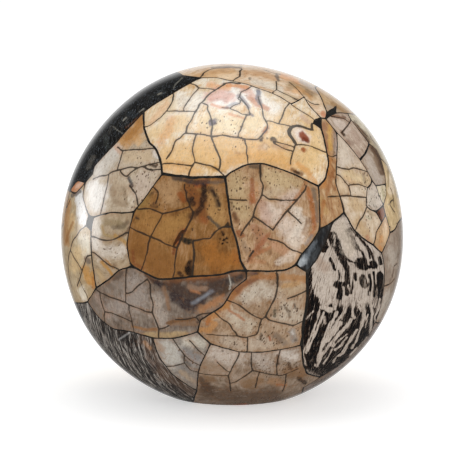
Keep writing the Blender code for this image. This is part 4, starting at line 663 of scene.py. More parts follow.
        ("AFA07C", 0.7, 0.7, 1.4, [(92, 22), (93.6, 14)]),
        ("8F8458", 0.75, 0.6, 0.9, [(90.4, 11), (90.6, 7)]),
        ("8B8680", 0.75, 0.6, 0.9, [(91, 18.5)]),
        ("6E6454", 0.75, 0.6, 0.7, [(96, 7.5)]),
        ("B9A988", 0.6, 0.7, 2, [(93, 6), (94, 2)]),
    ],
    "slab_tan_low": [
        ("C98A4E", 0.8, 0.7, 1.8, [(87, -0.6), (86.8, -2.4)]),
        ("C07C40", 0.75, 0.7, 1.6, [(86, -6.6), (86.6, -8)]),
        ("DDBE94", 0.7, 0.8, 2.6, [(88.6, 4), (89, -2)]),
    ],
    "slab_mauve_rim": [
        ("B6A99E", 0.7, 0.8, 4, [(92, -8), (94, -16)]),
        ("C3B8AE", 0.6, 0.8, 4, [(90, -34), (84, -46)]),
        ("8B7C72", 0.6, 0.7, 1.4, [(88, -12), (88.6, -20)]),
    ],
    "slab_zebra": [
        ("DCC9AC", 0.5, 0.8, 6, [(62, 6), (66, 0), (68, -8)]),
        ("B3977C", 0.5, 0.7, 4, [(50, -14), (54, -19)]),
    ],
    "slab_black_plug": [
        # Painted reflection: the next two bluish-grey patches stand for light mirrored on the plug's lower
        # part.
        ("6E7682", 0.85, 0.8, 3.4, [(38.6, -16), (42, -13)]),
        ("3E454F", 0.7, 0.8, 2.4, [(43, -12), (47, -4)]),
        ("5D5D60", 0.6, 0.6, 0.7, [(50.6, 4.6), (54, 6.4), (57.6, 7.6)]),
    ],
    "slab_black_streaked": [
        # Painted sheen: the next three bluish-grey patches stand for light mirrored on the black slab.
        ("4B5250", 0.6, 0.8, 2.6, [(-74, 58), (-72.6, 52)]),
        ("39424A", 0.7, 0.8, 2.2, [(-60, 71), (-56, 70)]),
        ("3C4143", 0.6, 0.8, 2, [(-48, 80), (-40, 84)]),
        ("8F918A", 0.85, 0.5, 0.5, [(-34.2, 85.3), (-33.3, 87.7), (-29, 91.7)]),
        ("8F918A", 0.85, 0.5, 0.45, [(-68.3, 62.3), (-64.2, 59.9)]),
        ("8F918A", 0.85, 0.5, 0.45, [(-70, 64), (-64.5, 60.2)]),
        ("B9BAB2", 0.85, 0.5, 0.6, [(-63.5, 67.4), (-61.7, 69)]),
        ("A9AAA2", 0.85, 0.5, 0.55, [(-43, 82.2), (-41.4, 83)]),
        ("A9AAA2", 0.85, 0.5, 0.5, [(-54, 72), (-51.6, 74)]),
        ("6E4A2E", 0.7, 0.6, 0.8, [(-62, 63), (-57, 67), (-52, 71)]),
        ("74736E", 0.6, 0.7, 2.2, [(-84, 40), (-81, 46)]),
    ],
}

# Where small dark pores gather: how many, how far around, and the line that they follow
PORES = {
    "slab_pale_left": [
        (1, 5.5, [(-50, 41), (-45.5, 39.5)]),
        (0.55, 6, [(-53, 35), (-48, 33)]),
        (0.3, 7, [(-52, 26), (-56, 22)]),
        (0.3, 5, [(-58, 45), (-52, 43)]),
    ],
    "slab_speckled": [
        (0.8, 12, [(80, 30), (84, 20), (84, 14)]),
    ],
    "slab_cream_lower": [
        (0.7, 6, [(26, -43), (36, -41)]),
        (0.8, 6, [(16, -55), (24, -60)]),
        (0.5, 5, [(-6, -61), (4, -62)]),
        (0.3, 6, [(12, -36), (18, -42)]),
        (0.5, 4, [(30, -55), (36, -53)]),
    ],
    "slab_pink_centre": [
        (0.6, 6, [(2, 36), (3, 28), (5, 18)]),
        (0.35, 6, [(8, 6), (12, 0)]),
        (0.3, 8, [(24, 35), (34, 30)]),
        (0.4, 4, [(8, -5), (10, -8)]),
    ],
    "slab_amber": [
        (0.6, 6, [(-22, 27), (-12, 24), (-10, 14)]),
        (0.4, 5, [(-47, 22), (-40, 20)]),
        (0.25, 6, [(-30, 10), (-26, 6)]),
    ],
    "slab_cream_top": [
        (0.25, 8, [(-14, 62), (0, 60)]),
    ],
    "slab_swirl_left": [
        (0.5, 4, [(-75, -12), (-66, -9)]),
    ],
    "slab_brown_lower": [
        (0.4, 6, [(18, -74), (30, -80)]),
        (0.7, 5, [(33, -76), (42, -80)]),
    ],
    "slab_cream_sliver": [
        (0.4, 5, [(86, 26), (87, 20)]),
    ],
    "slab_tan_right": [
        (0.7, 3, [(76, 36), (77, 30)]),
        (0.4, 4, [(80, 12), (78, 6)]),
    ],
    "slab_beige_lower": [
        (0.3, 6, [(-28, -66), (-20, -70)]),
    ],
}

# Where banded stone is black (below nought) or pale (above): how strongly, how far around, and the line
BANDS = {
    "slab_zebra": [
        (0.4, 9, [(66, 2), (76, -10), (80, -20)]),
        (0.4, 8, [(52, -12), (54, -28)]),
        (0.36, 6, [(66, -20), (68, -32)]),
        (0.38, 5, [(77, -22), (77, -34)]),
        (-0.42, 7, [(48, -42), (60, -48), (80, -48)]),
        (-0.42, 13, [(50, -58), (62, -62), (76, -60)]),
        (-0.42, 6, [(46, -72), (60, -78), (72, -70)]),
        (0.4, 3.2, [(74.5, -32), (75, -36)]),
        (0.38, 3.6, [(52, -33), (54, -37)]),
        (-0.42, 1.6, [(44.2, -19), (45.2, -34), (46, -44)]),
        (-0.4, 1.7, [(57.5, 1), (55.5, -4), (53, -8)]),
        (-0.42, 1.8, [(58.5, 1), (60, -5), (62, -10)]),
        (-0.42, 1.5, [(62, -9), (64.9, -14.6), (66.3, -18)]),
        (-0.36, 0.6, [(61.4, -2), (64, -9.7), (67.2, -14.1), (71.2, -15.5)]),
        (0.3, 0.45, [(55.1, -2.1), (57.8, -9.7), (60.5, -17.7)]),
        (0.24, 0.6, [(59.1, 0.6), (59.1, -5.2)]),
        (0.3, 0.5, [(57.8, -7), (60.9, -13.7), (63.2, -17.3)]),
        (-0.32, 1.9, [(67.6, 3), (70, -3)]),
        (-0.16, 1.7, [(68, 1), (72, -6.6)]),
        (-0.36, 0.7, [(68.5, 4.4), (73.8, -1.2), (78.3, -6.6), (80, -12.8)]),
        (-0.34, 0.6, [(72, -5.2), (75.6, -10.1), (78.3, -15.5)]),
        (-0.36, 0.7, [(76, -3.5), (81, -10.1), (81.9, -14.6)]),
        (-0.42, 3.4, [(74.4, -15.6), (76.6, -16.4)]),
        (-0.4, 2.2, [(80.6, -16.2), (82.4, -17)]),
        (0.34, 0.6, [(78.7, -13.4), (79.2, -16.4)]),
        (-0.4, 1, [(85.6, -12.6), (86.3, -16)]),
        (-0.42, 2.4, [(85.9, -22.6), (86.7, -34.2)]),
        (-0.42, 0.9, [(56.9, -13.4), (59.6, -19.5)]),
        (-0.38, 1, [(62.3, -13.3), (64.9, -16.8)]),
        (-0.42, 1.5, [(66.3, -17.7), (66.3, -26.2), (64.9, -28), (66.3, -33.3)]),
        (-0.36, 0.5, [(61.4, -19.9), (62.3, -23.5), (60.9, -27.1)]),
        (-0.42, 2, [(60.8, -27.9), (64, -28.8), (62.3, -35)]),
        (0.34, 0.6, [(64.5, -29.8), (64.5, -34.2)]),
        (-0.38, 0.8, [(71.2, -22.2), (71.6, -25.3)]),
        (-0.24, 2.3, [(75.2, -24.6), (77, -28.4)]),
        (-0.38, 0.8, [(79.6, -22.5), (80.5, -27.9), (79.2, -34)]),
        (-0.36, 0.6, [(82, -21), (82.7, -28.8), (82.3, -35)]),
        (-0.2, 0.4, [(67.6, -19.9), (68.5, -33.3)]),
        (-0.2, 0.4, [(70.3, -21.3), (69.2, -33.3)]),
        (0.38, 1.5, [(52, -41.5), (57, -42.8)]),
        (0.36, 0.55, [(50.7, -42.8), (49.8, -47.7), (47.6, -53.5), (44.9, -59.7), (41.4, -67)]),
        (0.36, 0.7, [(52.9, -44.1), (50.7, -49.9), (48, -56.6), (44.9, -63.3), (42.7, -67.7)]),
        (0.2, 1, [(53.8, -47), (53.8, -50.4)]),
        (0.38, 1.1, [(59.1, -33.9), (59.1, -41.9)]),
        (0.38, 1, [(60.5, -44.6), (57.8, -49.9), (55.6, -53.9), (53.4, -59.7), (51.1, -66.8), (49.3, -75)]),
        (0.4, 2, [(61.6, -51), (58.7, -54.4), (55.1, -59.7)]),
        (0.36, 0.5, [(64, -35.2), (64.9, -40.6), (63.6, -48.1)]),
        (0.36, 0.7, [(66.7, -37.9), (64.9, -44.1), (60, -49.9)]),
        (0.38, 0.9, [(70.3, -33.9), (69.8, -45.9), (70.7, -47.2)]),
        (0.38, 1, [(68.9, -48.6), (66.7, -51.7), (62.3, -56.2), (59.1, -60.2), (54.7, -65), (52.9, -70)]),
        (0.3, 0.4, [(66.3, -57), (62.3, -60.2), (59.1, -63.7)]),
        (0.34, 0.6, [(66.3, -58.8), (63.2, -63.3), (59.6, -65.9)]),
        (0.38, 1.1, [(75.6, -39.7), (76.5, -44.1), (75.2, -51.7)]),
        (0.34, 0.6, [(72.9, -40.1), (75.2, -43.7)]),
        (0.36, 0.6, [(74.7, -52.6), (72.1, -60.6), (69.4, -65)]),
        (0.36, 0.8, [(72.1, -54.4), (68.9, -59.7), (65.4, -65), (64, -68.2)]),
        (0.36, 0.7, [(80.1, -33), (80.5, -41.9), (81.4, -44.6), (80.5, -50.8), (80.1, -56.2)]),
        (0.36, 0.6, [(85.9, -36.6), (85.4, -41), (82.7, -46.8), (83.2, -52.1)]),
        (0.26, 0.5, [(78.7, -45.5), (77, -53)]),
        (0.36, 0.8, [(78.3, -59.3), (74.7, -63.7), (68.5, -70.8), (62.3, -75.7)]),
        (0.34, 0.6, [(72.1, -65), (68.9, -68.6), (67.6, -73.1)]),
        (0.38, 1.3, [(58.3, -62.4), (52.5, -68.6), (48.9, -74.8)]),
        (-0.36, 0.5, [(57, -64.6), (53, -70), (50.4, -75)]),
        (0.32, 0.5, [(57.8, -66), (55.6, -70), (52.9, -74)]),
        (0.3, 0.5, [(64, -68.2), (60.6, -69.8), (58.6, -73)]),
        (0.24, 0.4, [(46.7, -43.7), (42.7, -48.1)]),
        (0.24, 0.5, [(40.9, -67.7), (42.7, -74.9)]),
    ],
    "slab_streaked_lower": [
        (-0.06, 20, [(-80, -50), (-60, -66), (-40, -84)]),
        (-0.16, 3.6, [(-66, -54), (-60, -60)]),
        (-0.1, 4, [(-80, -46), (-70, -58)]),
        (-0.01, 4, [(-84, -50), (-76, -62)]),
        (-0.11, 4, [(-46, -78), (-36, -86), (-24, -92)]),
    ],
    "slab_black_streaked": [
        (0.08, 6, [(-72, 56), (-62, 66), (-50, 76)]),
    ],
}


def hexed(text):
    """A colour written as six hex digits, as linear light."""
    parts = [int(text[i:i + 2], 16) / 255.0 for i in (0, 2, 4)]
    return tuple(c / 12.92 if c <= 0.04045 else ((c + 0.055) / 1.055) ** 2.4 for c in parts)


# Directions, the picture and the ground surface

def unit(points):
    """Points brought to length one."""
    return points / np.linalg.norm(points, axis=-1, keepdims=True)


def seen_from_eye(angle, way):
    """Directions at these angles round from the eye, these ways in the picture."""
    angle, way = np.asarray(angle)[..., None], np.asarray(way)[..., None]
    across = PICTURE_RIGHT * np.cos(way) + PICTURE_UP * np.sin(way)
    return TOWARDS_EYE * np.cos(angle) + across * np.sin(angle)


def front_directions(places):
    """Directions of places drawn on the picture of the ball's front."""
    places = np.asarray(places, float)
    share = np.minimum(np.hypot(places[:, 0], places[:, 1]) / 100.0, 1.0)
    ray = np.arctan(share * OUTLINE_TANGENT)
    angle = np.arcsin(np.minimum(EYE_DISTANCE / BALL_RADIUS * np.sin(ray), 1.0)) - ray
    return seen_from_eye(angle, np.arctan2(places[:, 1], places[:, 0]))


def picture_places(directions):
    """Where directions are drawn on the picture, and whether the eye sees them."""
    facing = directions @ TOWARDS_EYE
    right = directions @ PICTURE_RIGHT * BALL_RADIUS
    up = directions @ PICTURE_UP * BALL_RADIUS
    scale = 100.0 / ((EYE_DISTANCE - BALL_RADIUS * facing) * OUTLINE_TANGENT)
    return np.stack([right * scale, up * scale], 1), facing > OUTLINE_COSINE


def surface_radius(directions):
    """How far the ground surface lies from the ball's centre in these directions."""
    swell = np.zeros(len(directions))
    for way, share in SWELLS:
        axis = seen_from_eye(math.pi / 2, math.radians(way))
        away = np.arccos(np.clip(directions @ axis, -1.0, 1.0))
        swell += share * np.exp(-(away / SWELL_WIDTH) ** 2)
    fade = np.clip((directions[:, 2] + math.cos(FLAT_ANGLE)) / SWELL_FADE_ABOVE_FLAT, 0.0, 1.0)
    radius = BALL_RADIUS + SWELL_HEIGHT * swell * fade
    down = np.maximum(-directions[:, 2], 1e-6)
    return np.minimum(radius, FLAT_DEPTH / down)


def underside_radius(directions):
    """How far a slab's underside lies from the ball's centre in these directions."""
    down = np.maximum(-directions[:, 2], 1e-6)
    return np.minimum(BALL_RADIUS - SLAB_THICKNESS, (FLAT_DEPTH - STONE_UNDER_FLAT) / down)


class Chart:
    """The ball's surface laid flat around one direction, keeping small shapes true."""

    def __init__(self, middle):
        self.middle = middle
        self.across = unit(np.cross(middle, [0.31, 0.87, 0.38]))
        self.along = np.cross(middle, self.across)

    def flat(self, directions):
        scale = 2.0 * BALL_RADIUS / (1.0 + directions @ self.middle)
        return np.stack([directions @ self.across * scale, directions @ self.along * scale], 1)

    def round(self, places):
        half = places / (2.0 * BALL_RADIUS)
        square = (half ** 2).sum(1)[:, None]
        across = self.across * half[:, :1] + self.along * half[:, 1:]
        return unit(across * 2.0 + self.middle * (1.0 - square))


def arc(start, end, step):
    """Directions from start to just before end, this far apart in metres."""
    angle = math.acos(min(1.0, float(start @ end)))
    steps = max(1, math.ceil(angle * BALL_RADIUS / step))
    shares = np.arange(steps)[:, None] / steps
    return unit(start * (1.0 - shares) + end * shares)


def wandered(directions, amount):
    """Directions moved a little by a smooth wander that is the same for neighbours."""
    result = []
    for direction in directions:
        place = Vector(direction) * BALL_RADIUS * MM
        slow = noise.noise_vector(place / 9.0)
        quick = noise.noise_vector(place / 2.6)
        result.append(direction + (np.array(slow) + 0.35 * np.array(quick)) * amount / BALL_RADIUS)
    return unit(np.array(result))


# Slab outlines, read from the solids and made fine. Corners this close are one, and corners this far
# under the ground surface at most are on it, in metres.
KEY_STEP = 0.00005
TOP_TOLERANCE = 0.001
SOFTENING = 14


def coarse_outline(node):
    """The outline of a slab's polished face in the solid, anticlockwise from outside, as directions."""
    mesh = node.data
    places = np.empty(len(mesh.vertices) * 3)
    mesh.vertices.foreach_get("co", places)
    places = places.reshape(-1, 3) - CENTRE
    keys = [tuple(key) for key in np.round(places / KEY_STEP).astype(int)]
    directions = unit(places)
    on_top = np.linalg.norm(places, axis=1) > surface_radius(directions) - TOP_TOLERANCE
    following = {}
    place_of = {}
    steps = set()
    mesh.calc_loop_triangles()
    for triangle in mesh.loop_triangles:
        corners = list(triangle.vertices)
        if on_top[corners].all():
            for a, b in zip(corners, corners[1:] + corners[:1]):
                steps.add((keys[a], keys[b]))
                place_of[keys[a]] = directions[a]
    for a, b in steps:
        if (b, a) not in steps:
            following[a] = b
    key = min(following)
    loop = [key]
    while following[loop[-1]] != key:
        loop.append(following[loop[-1]])
    return np.array([place_of[key] for key in loop])


def fine_outline(corners, step):
    """A slab's outline with soft bends, crisp corners and the slight wander of a sawn and ground edge."""
    before, after = np.roll(corners, 1, 0), np.roll(corners, -1, 0)
    turn = (unit(corners - before) * unit(after - corners)).sum(1)
    points, held = [], []
    for index in range(len(corners)):
        run = arc(corners[index], after[index], step)
        points.append(run)
        held += [turn[index] < math.cos(math.radians(CRISP_CORNER))] + [False] * (len(run) - 1)
    points = np.concatenate(points)
    free = ~np.array(held)[:, None]
    for sweep in range(SOFTENING):
        softened = points * 0.5 + (np.roll(points, 1, 0) + np.roll(points, -1, 0)) * 0.25
        points = unit(np.where(free | (sweep == 0), softened, points))
    outward = unit(np.cross(np.roll(points, -1, 0) - np.roll(points, 1, 0), points))
    reach = [0.5 + 0.9 * noise.noise(Vector(point) * BALL_RADIUS * MM / 7.0) for point in points]
    points = unit(points + outward * (np.clip(reach, 0.0, 1.0) * JOINT_NARROWED / BALL_RADIUS)[:, None])
    return wandered(points, JOINT_WANDER)


def inside(places, outline):
    """Which flat places lie inside a flat outline."""
    a, b = outline, np.roll(outline, -1, 0)
    result = np.zeros(len(places), bool)
    for start in range(0, len(places), BLOCK):
        x, y = places[start:start + BLOCK, :1], places[start:start + BLOCK, 1:]
        spans = (a[:, 1] > y) != (b[:, 1] > y)
        rise = np.where(b[:, 1] == a[:, 1], 1.0, b[:, 1] - a[:, 1])
        crossing = a[:, 0] + (y - a[:, 1]) / rise * (b[:, 0] - a[:, 0])
        result[start:start + BLOCK] = (spans & (x < crossing)).sum(1) % 2 == 1
    return result


def nearest_gap(places, others):
    """How far each place is from the nearest of the others."""
    result = np.full(len(places), np.inf)
    if len(others):
        squares = (others ** 2).sum(1)
        for start in range(0, len(places), BLOCK):
            part = places[start:start + BLOCK]
            gap = (part ** 2).sum(1)[:, None] + squares - 2.0 * part @ others.T
            result[start:start + BLOCK] = np.sqrt(np.maximum(gap.min(1), 0.0))
    return result


def even_places(outline, step, taken):
    """Places spread evenly over the inside of a flat outline, clear of the places taken."""
    low, high = outline.min(0), outline.max(0)
    rows = np.arange(low[1], high[1], step * math.sqrt(0.75))
    columns = np.arange(low[0], high[0], step)
    x, y = np.meshgrid(columns, rows)
    x = x + (np.arange(len(rows)) % 2)[:, None] * step * 0.5
    places = np.stack([x.ravel(), y.ravel()], 1)
    places = places[inside(places, outline)]
    clear = nearest_gap(places, np.concatenate([outline, taken])) > step * CLOSEST_PLACES
    return places[clear]


def net_inside(chart, ring, lines, step):
    """Cuts the inside of an outline into triangles that follow the lines drawn in it."""
    outline = chart.flat(ring)
    count = len(outline)
    edges = []
    drawn = [outline]
    start = count
    for line in lines:
        flat = chart.flat(line)
        edges += [(start + i, start + i + 1) for i in range(len(flat) - 1)]
        drawn.append(flat)
        start += len(flat)
    taken = np.concatenate(drawn[1:]) if lines else np.empty((0, 2))
    drawn.append(even_places(outline, step, taken))
    places = [Vector(place) for place in np.concatenate(drawn)]
    net = delaunay_2d_cdt(places, edges, [list(range(count))], 1, 1e-8, True)
    directions = chart.round(np.array([tuple(place) for place in net[0]]))
    order = {}
    for index, origins in enumerate(net[3]):
        for origin in origins:
            if origin < count:
                order[origin] = index
                directions[index] = ring[origin]
    triangles = [list(face) for face, within in zip(net[2], net[5]) if within]
    return directions, triangles, [order[i] for i in range(count)]


# Cracks

def crack_runs(name, chart, ring, is_back):
    """A slab's cracks as runs of directions, each with its half width in mm and its tone."""
    runs = []
    drawn = [front_directions(line) for _, _, line in CRACKS.get(name, [])]
    for index, (half, tone, _) in enumerate(CRACKS.get(name, [])):
        others = [filled_in(line) for place, line in enumerate(drawn) if place != index]
        runs.append((extended(drawn[index], np.concatenate([ring] + others)), half, tone))
    runs += grown_cracks(name, chart, ring, is_back)
    result = []
    for corners, half, tone in runs:
        points = filled_in(corners)
        for _ in range(2):
            points[1:-1] = unit(points[1:-1] * 0.5 + (points[:-2] + points[2:]) * 0.25)
        points = wandered(points, CRACK_WANDER)
        result.append((points, half, tone))
    return result


def filled_in(corners):
    """A line of directions with points close together along it."""
    parts = [arc(a, b, FRONT_STEP) for a, b in zip(corners, corners[1:])]
    return np.concatenate(parts + [corners[-1:]])


def extended(corners, others):
    """A crack's line carried on to the slab's edge, or to another crack, where it nearly meets it."""
    corners = list(corners)
    for end, place in ((0, 0), (-1, None)):
        gaps = np.linalg.norm(others - corners[end], axis=1) * BALL_RADIUS
        if 1e-5 < gaps.min() < CRACK_END_GAP:
            nearest = others[gaps.argmin()]
            if place == 0:
                corners.insert(0, nearest)
            else:
                corners.append(nearest)
    return np.array(corners)


def grown_cracks(name, chart, ring, is_back):
    """Natural cracks where the photograph shows none of the ball: the edges of a loose cell pattern."""
    rng = random.Random("cracks of " + name)
    outline = chart.flat(ring)
    low, high = outline.min(0) - 0.03, outline.max(0) + 0.03
    seeds = []
    row = 0
    y = low[1]
    while y < high[1]:
        x = low[0] + (row % 2) * CELL_SIZE / 2
        while x < high[0]:
            aside = rng.uniform(-CELL_LOOSENESS, CELL_LOOSENESS) * CELL_SIZE
            above = rng.uniform(-CELL_LOOSENESS, CELL_LOOSENESS) * CELL_SIZE
            seeds.append(Vector((x + aside, y + above)))
            x += CELL_SIZE
        y += CELL_SIZE * math.sqrt(0.75)
        row += 1
    net = delaunay_2d_cdt(seeds, [], [], 0, 1e-8, False)
    middles = []
    beside = {}
    for index, face in enumerate(net[2]):
        a, b, c = [np.array(net[0][corner]) for corner in face]
        middles.append(circle_middle(a, b, c))
        for p, q in ((face[0], face[1]), (face[1], face[2]), (face[2], face[0])):
            beside.setdefault((min(p, q), max(p, q)), []).append(index)
    runs = []
    for pair in sorted(beside):
        faces = beside[pair]
        if len(faces) != 2 or rng.random() < CLOSED_EDGES:
            continue
        start, end = middles[faces[0]], middles[faces[1]]
        if np.linalg.norm(end - start) > CELL_SIZE * LONGEST_EDGE:
            continue
        shares = np.linspace(0.0, 1.0, 9)[:, None]
        places = start * (1.0 - shares) + end * shares
        directions = chart.round(places)
        hidden = directions @ TOWARDS_EYE < OUTLINE_COSINE - 0.02
        kept = inside(places, outline) & hidden
        if not is_back and name in ("slab_black_streaked", "slab_zebra"):
            continue
        if kept.sum() > 2:
            first, last = np.flatnonzero(kept)[[0, -1]]
            if kept[first:last + 1].all():
                corners = directions[first:last + 1][[0, (last - first) // 2, last - first]]
                runs.append((corners, rng.uniform(*GROWN_WIDTHS), rng.uniform(*GROWN_TONES)))
    return runs


def circle_middle(a, b, c):
    """The middle of the circle through three flat places."""
    d = 2.0 * (a[0] * (b[1] - c[1]) + b[0] * (c[1] - a[1]) + c[0] * (a[1] - b[1]))
    if abs(d) < 1e-12:
        return (a + b + c) / 3.0
    squares = [(p ** 2).sum() for p in (a, b, c)]
    x = squares[0] * (b[1] - c[1]) + squares[1] * (c[1] - a[1]) + squares[2] * (a[1] - b[1])
    y = squares[0] * (c[0] - b[0]) + squares[1] * (a[0] - c[0]) + squares[2] * (b[0] - a[0])
    return np.array([x, y]) / d


def crack_measures(directions, runs):
    """For each direction: how far in mm it is outside the nearest crack, that crack's tone, and how far
    it is from the crack's middle line."""
    far = np.full(len(directions), FAR)
    tone = np.zeros(len(directions))
    middle = np.full(len(directions), FAR)
    if not runs:
        return far, tone, middle
    points = np.concatenate([line for line, _, _ in runs]) * BALL_RADIUS * MM
    halves = np.concatenate([np.full(len(line), half) for line, half, _ in runs])
    tones = np.concatenate([np.full(len(line), crack_tone) for line, _, crack_tone in runs])
    sway = np.array([noise.noise(Vector(point) / 5.0) for point in points])
    halves = halves * (CRACKS_WIDENED + CRACKS_VARIED * sway)
    run_of = np.concatenate([np.full(len(line), index) for index, (line, _, _) in enumerate(runs)])
    places = directions * BALL_RADIUS * MM
    squares = (points ** 2).sum(1)
    for start in range(0, len(places), BLOCK):
        part = places[start:start + BLOCK]
        nearest = (squares - 2.0 * part @ points.T).argmin(1)
        gap = np.linalg.norm(part - points[nearest], axis=1)
        for step in (-1, 1):
            other = np.clip(nearest + step, 0, len(points) - 1)
            other = np.where(run_of[other] == run_of[nearest], other, nearest)
            side = points[other] - points[nearest]
            square = np.maximum((side ** 2).sum(1), 1e-9)
            share = np.clip(((part - points[nearest]) * side).sum(1) / square, 0.0, 1.0)
            gap = np.minimum(gap, np.linalg.norm(part - points[nearest] - share[:, None] * side, axis=1))
        far[start:start + BLOCK] = gap - halves[nearest]
        tone[start:start + BLOCK] = tones[nearest]
        middle[start:start + BLOCK] = gap
    return far, tone, middle


# Marks and grain

def line_gap(places, line):
    """How far flat places lie from a line, or from a single place."""
    line = np.asarray(line, float)
    if len(line) == 1:
        return np.linalg.norm(places - line[0], axis=1)
    best = np.full(len(places), np.inf)
    for a, b in zip(line, line[1:]):
        side = b - a
        share = np.clip((places - a) @ side / (side @ side), 0.0, 1.0)
        best = np.minimum(best, np.linalg.norm(places - a - share[:, None] * side, axis=1))
    return best


def tints(name, directions):
    """The colour and strength of a slab's marks at each direction, painted highlights, sheen, reflections
    and shadow among them.
    """
    colours = np.zeros((len(directions), 4))
    marks = STAINS_AND_PAINTED_LIGHT.get(name, [])
    if not marks:
        return colours
    places, seen = picture_places(directions)
    slow, quick = [], []
    for direction in directions:
        slow.append(noise.noise(Vector(direction) * 25.0))
        quick.append(noise.noise(Vector(direction) * 60.0 + Vector((5, 5, 5))))
    slow, quick = np.array(slow), np.array(quick)
    for colour, strength, softness, radius, line in marks:
        if radius == 0:
            gap = line_gap(places, list(line) + [line[0]])
            gap = np.where(inside(places, np.array(line, float)), -gap, gap)
            share = gap / max(softness, 0.05) + 0.5 + slow * 0.8 + quick * 0.5
        else:
            gap = line_gap(places, line) * (1.0 + 0.5 * slow + 0.35 * quick)
            inner = radius * (1.0 - softness)
            share = (gap - inner) / max(radius - inner, 0.05)
        alpha = np.clip(1.0 - share, 0.0, 1.0)
        alpha = alpha * alpha * (3.0 - 2.0 * alpha) * strength * seen
        new = np.array(hexed(colour))
        total = alpha + colours[:, 3] * (1.0 - alpha)
        safe = np.maximum(total, 1e-6)[:, None]
        mixed = new * alpha[:, None] + colours[:, :3] * (colours[:, 3] * (1.0 - alpha))[:, None]
        colours[:, :3] = mixed / safe
        colours[:, 3] = total
    return colours


def painted(table, name, directions):
    """A table's soft amounts at each direction, each laid over the ones before it."""
    total = np.zeros(len(directions))
    if name in table:
        places, seen = picture_places(directions)
        wander = []
        for u, v in places:
            slow = noise.noise(Vector((u / 2.2, v / 4.5, 3.0)))
            quick = noise.noise(Vector((u / 0.9, v / 2.2, 7.0)))
            wander.append(slow * 0.9 + quick * 0.45)
        wander = np.array(wander)
        for amount, radius, line in table[name]:
            soft = 0.35 + 0.35 * radius
            gap = line_gap(places, line) + wander * min(1.0, 0.35 + 0.3 * radius)
            share = np.clip((radius + soft * 0.5 - gap) / soft, 0.0, 1.0)
            share = share * share * (3.0 - 2.0 * share) * seen
            total = total * (1.0 - share) + amount * share
    return total


def cell_tones(name, triangles, open_, count):
    """A random tone for each patch of stone that the cracks cut off from the rest."""
    beside = [[] for _ in range(count)]
    for a, b, c in triangles:
        for p, q in ((a, b), (b, c), (c, a)):
            if open_[p] and open_[q]:
                beside[p].append(q)
                beside[q].append(p)
    rng = random.Random("tones of " + name)
    tones = np.full(count, -1.0)
    for first in range(count):
        if tones[first] >= 0.0 or not open_[first]:
            continue
        tone = rng.random()
        tones[first] = tone
        waiting = [first]
        while waiting:
            for other in beside[waiting.pop()]:
                if tones[other] < 0.0:
                    tones[other] = tone
                    waiting.append(other)
    for a, b, c in triangles:
        known = max(tones[a], tones[b], tones[c])
        for corner in (a, b, c):
            if tones[corner] < 0.0:
                tones[corner] = known
    return np.maximum(tones, 0.5 * (tones < 0.0))


def grain_places(look, chart, directions):
    """Each direction's place across and along the slab's grain, in mm."""
    flat = chart.flat(directions) * MM
    kind, *facts = look["grain"]
    if kind == "straight":
        angle = math.radians(facts[0])
        here = chart.middle
        way = PICTURE_RIGHT * math.cos(angle) + PICTURE_UP * math.sin(angle)
        if abs(here @ TOWARDS_EYE) < 0.2:
            level = np.cross(here, [0.0, 0.3, 1.0])
            way = level * math.cos(angle) + np.array([0.0, 0.0, 1.0]) * math.sin(angle)
        along = np.array([way @ chart.across, way @ chart.along])
        along = along / np.linalg.norm(along)
        across = np.array([-along[1], along[0]])
        return np.stack([flat @ across, flat @ along], 1)
    if kind == "rings":
        middle = chart.flat(front_directions([facts[0]]))[0] * MM
        offset = flat - middle
        return np.stack([np.linalg.norm(offset, axis=1), np.arctan2(offset[:, 1], offset[:, 0]) * 12.0], 1)
    first, second = chart.flat(front_directions(facts[:2])) * MM
    a, b = flat - first, flat - second
    turn = np.arctan2(a[:, 0] * b[:, 1] - a[:, 1] * b[:, 0], (a * b).sum(1))
    turn = np.where(turn < 0, turn + 2 * math.pi, turn) - math.pi
    size = np.linalg.norm(second - first)
    ratio = np.log((np.linalg.norm(a, axis=1) + 2.0) / (np.linalg.norm(b, axis=1) + 2.0))
    return np.stack([turn * size * 0.5, ratio * size * 0.25], 1)


# Materials

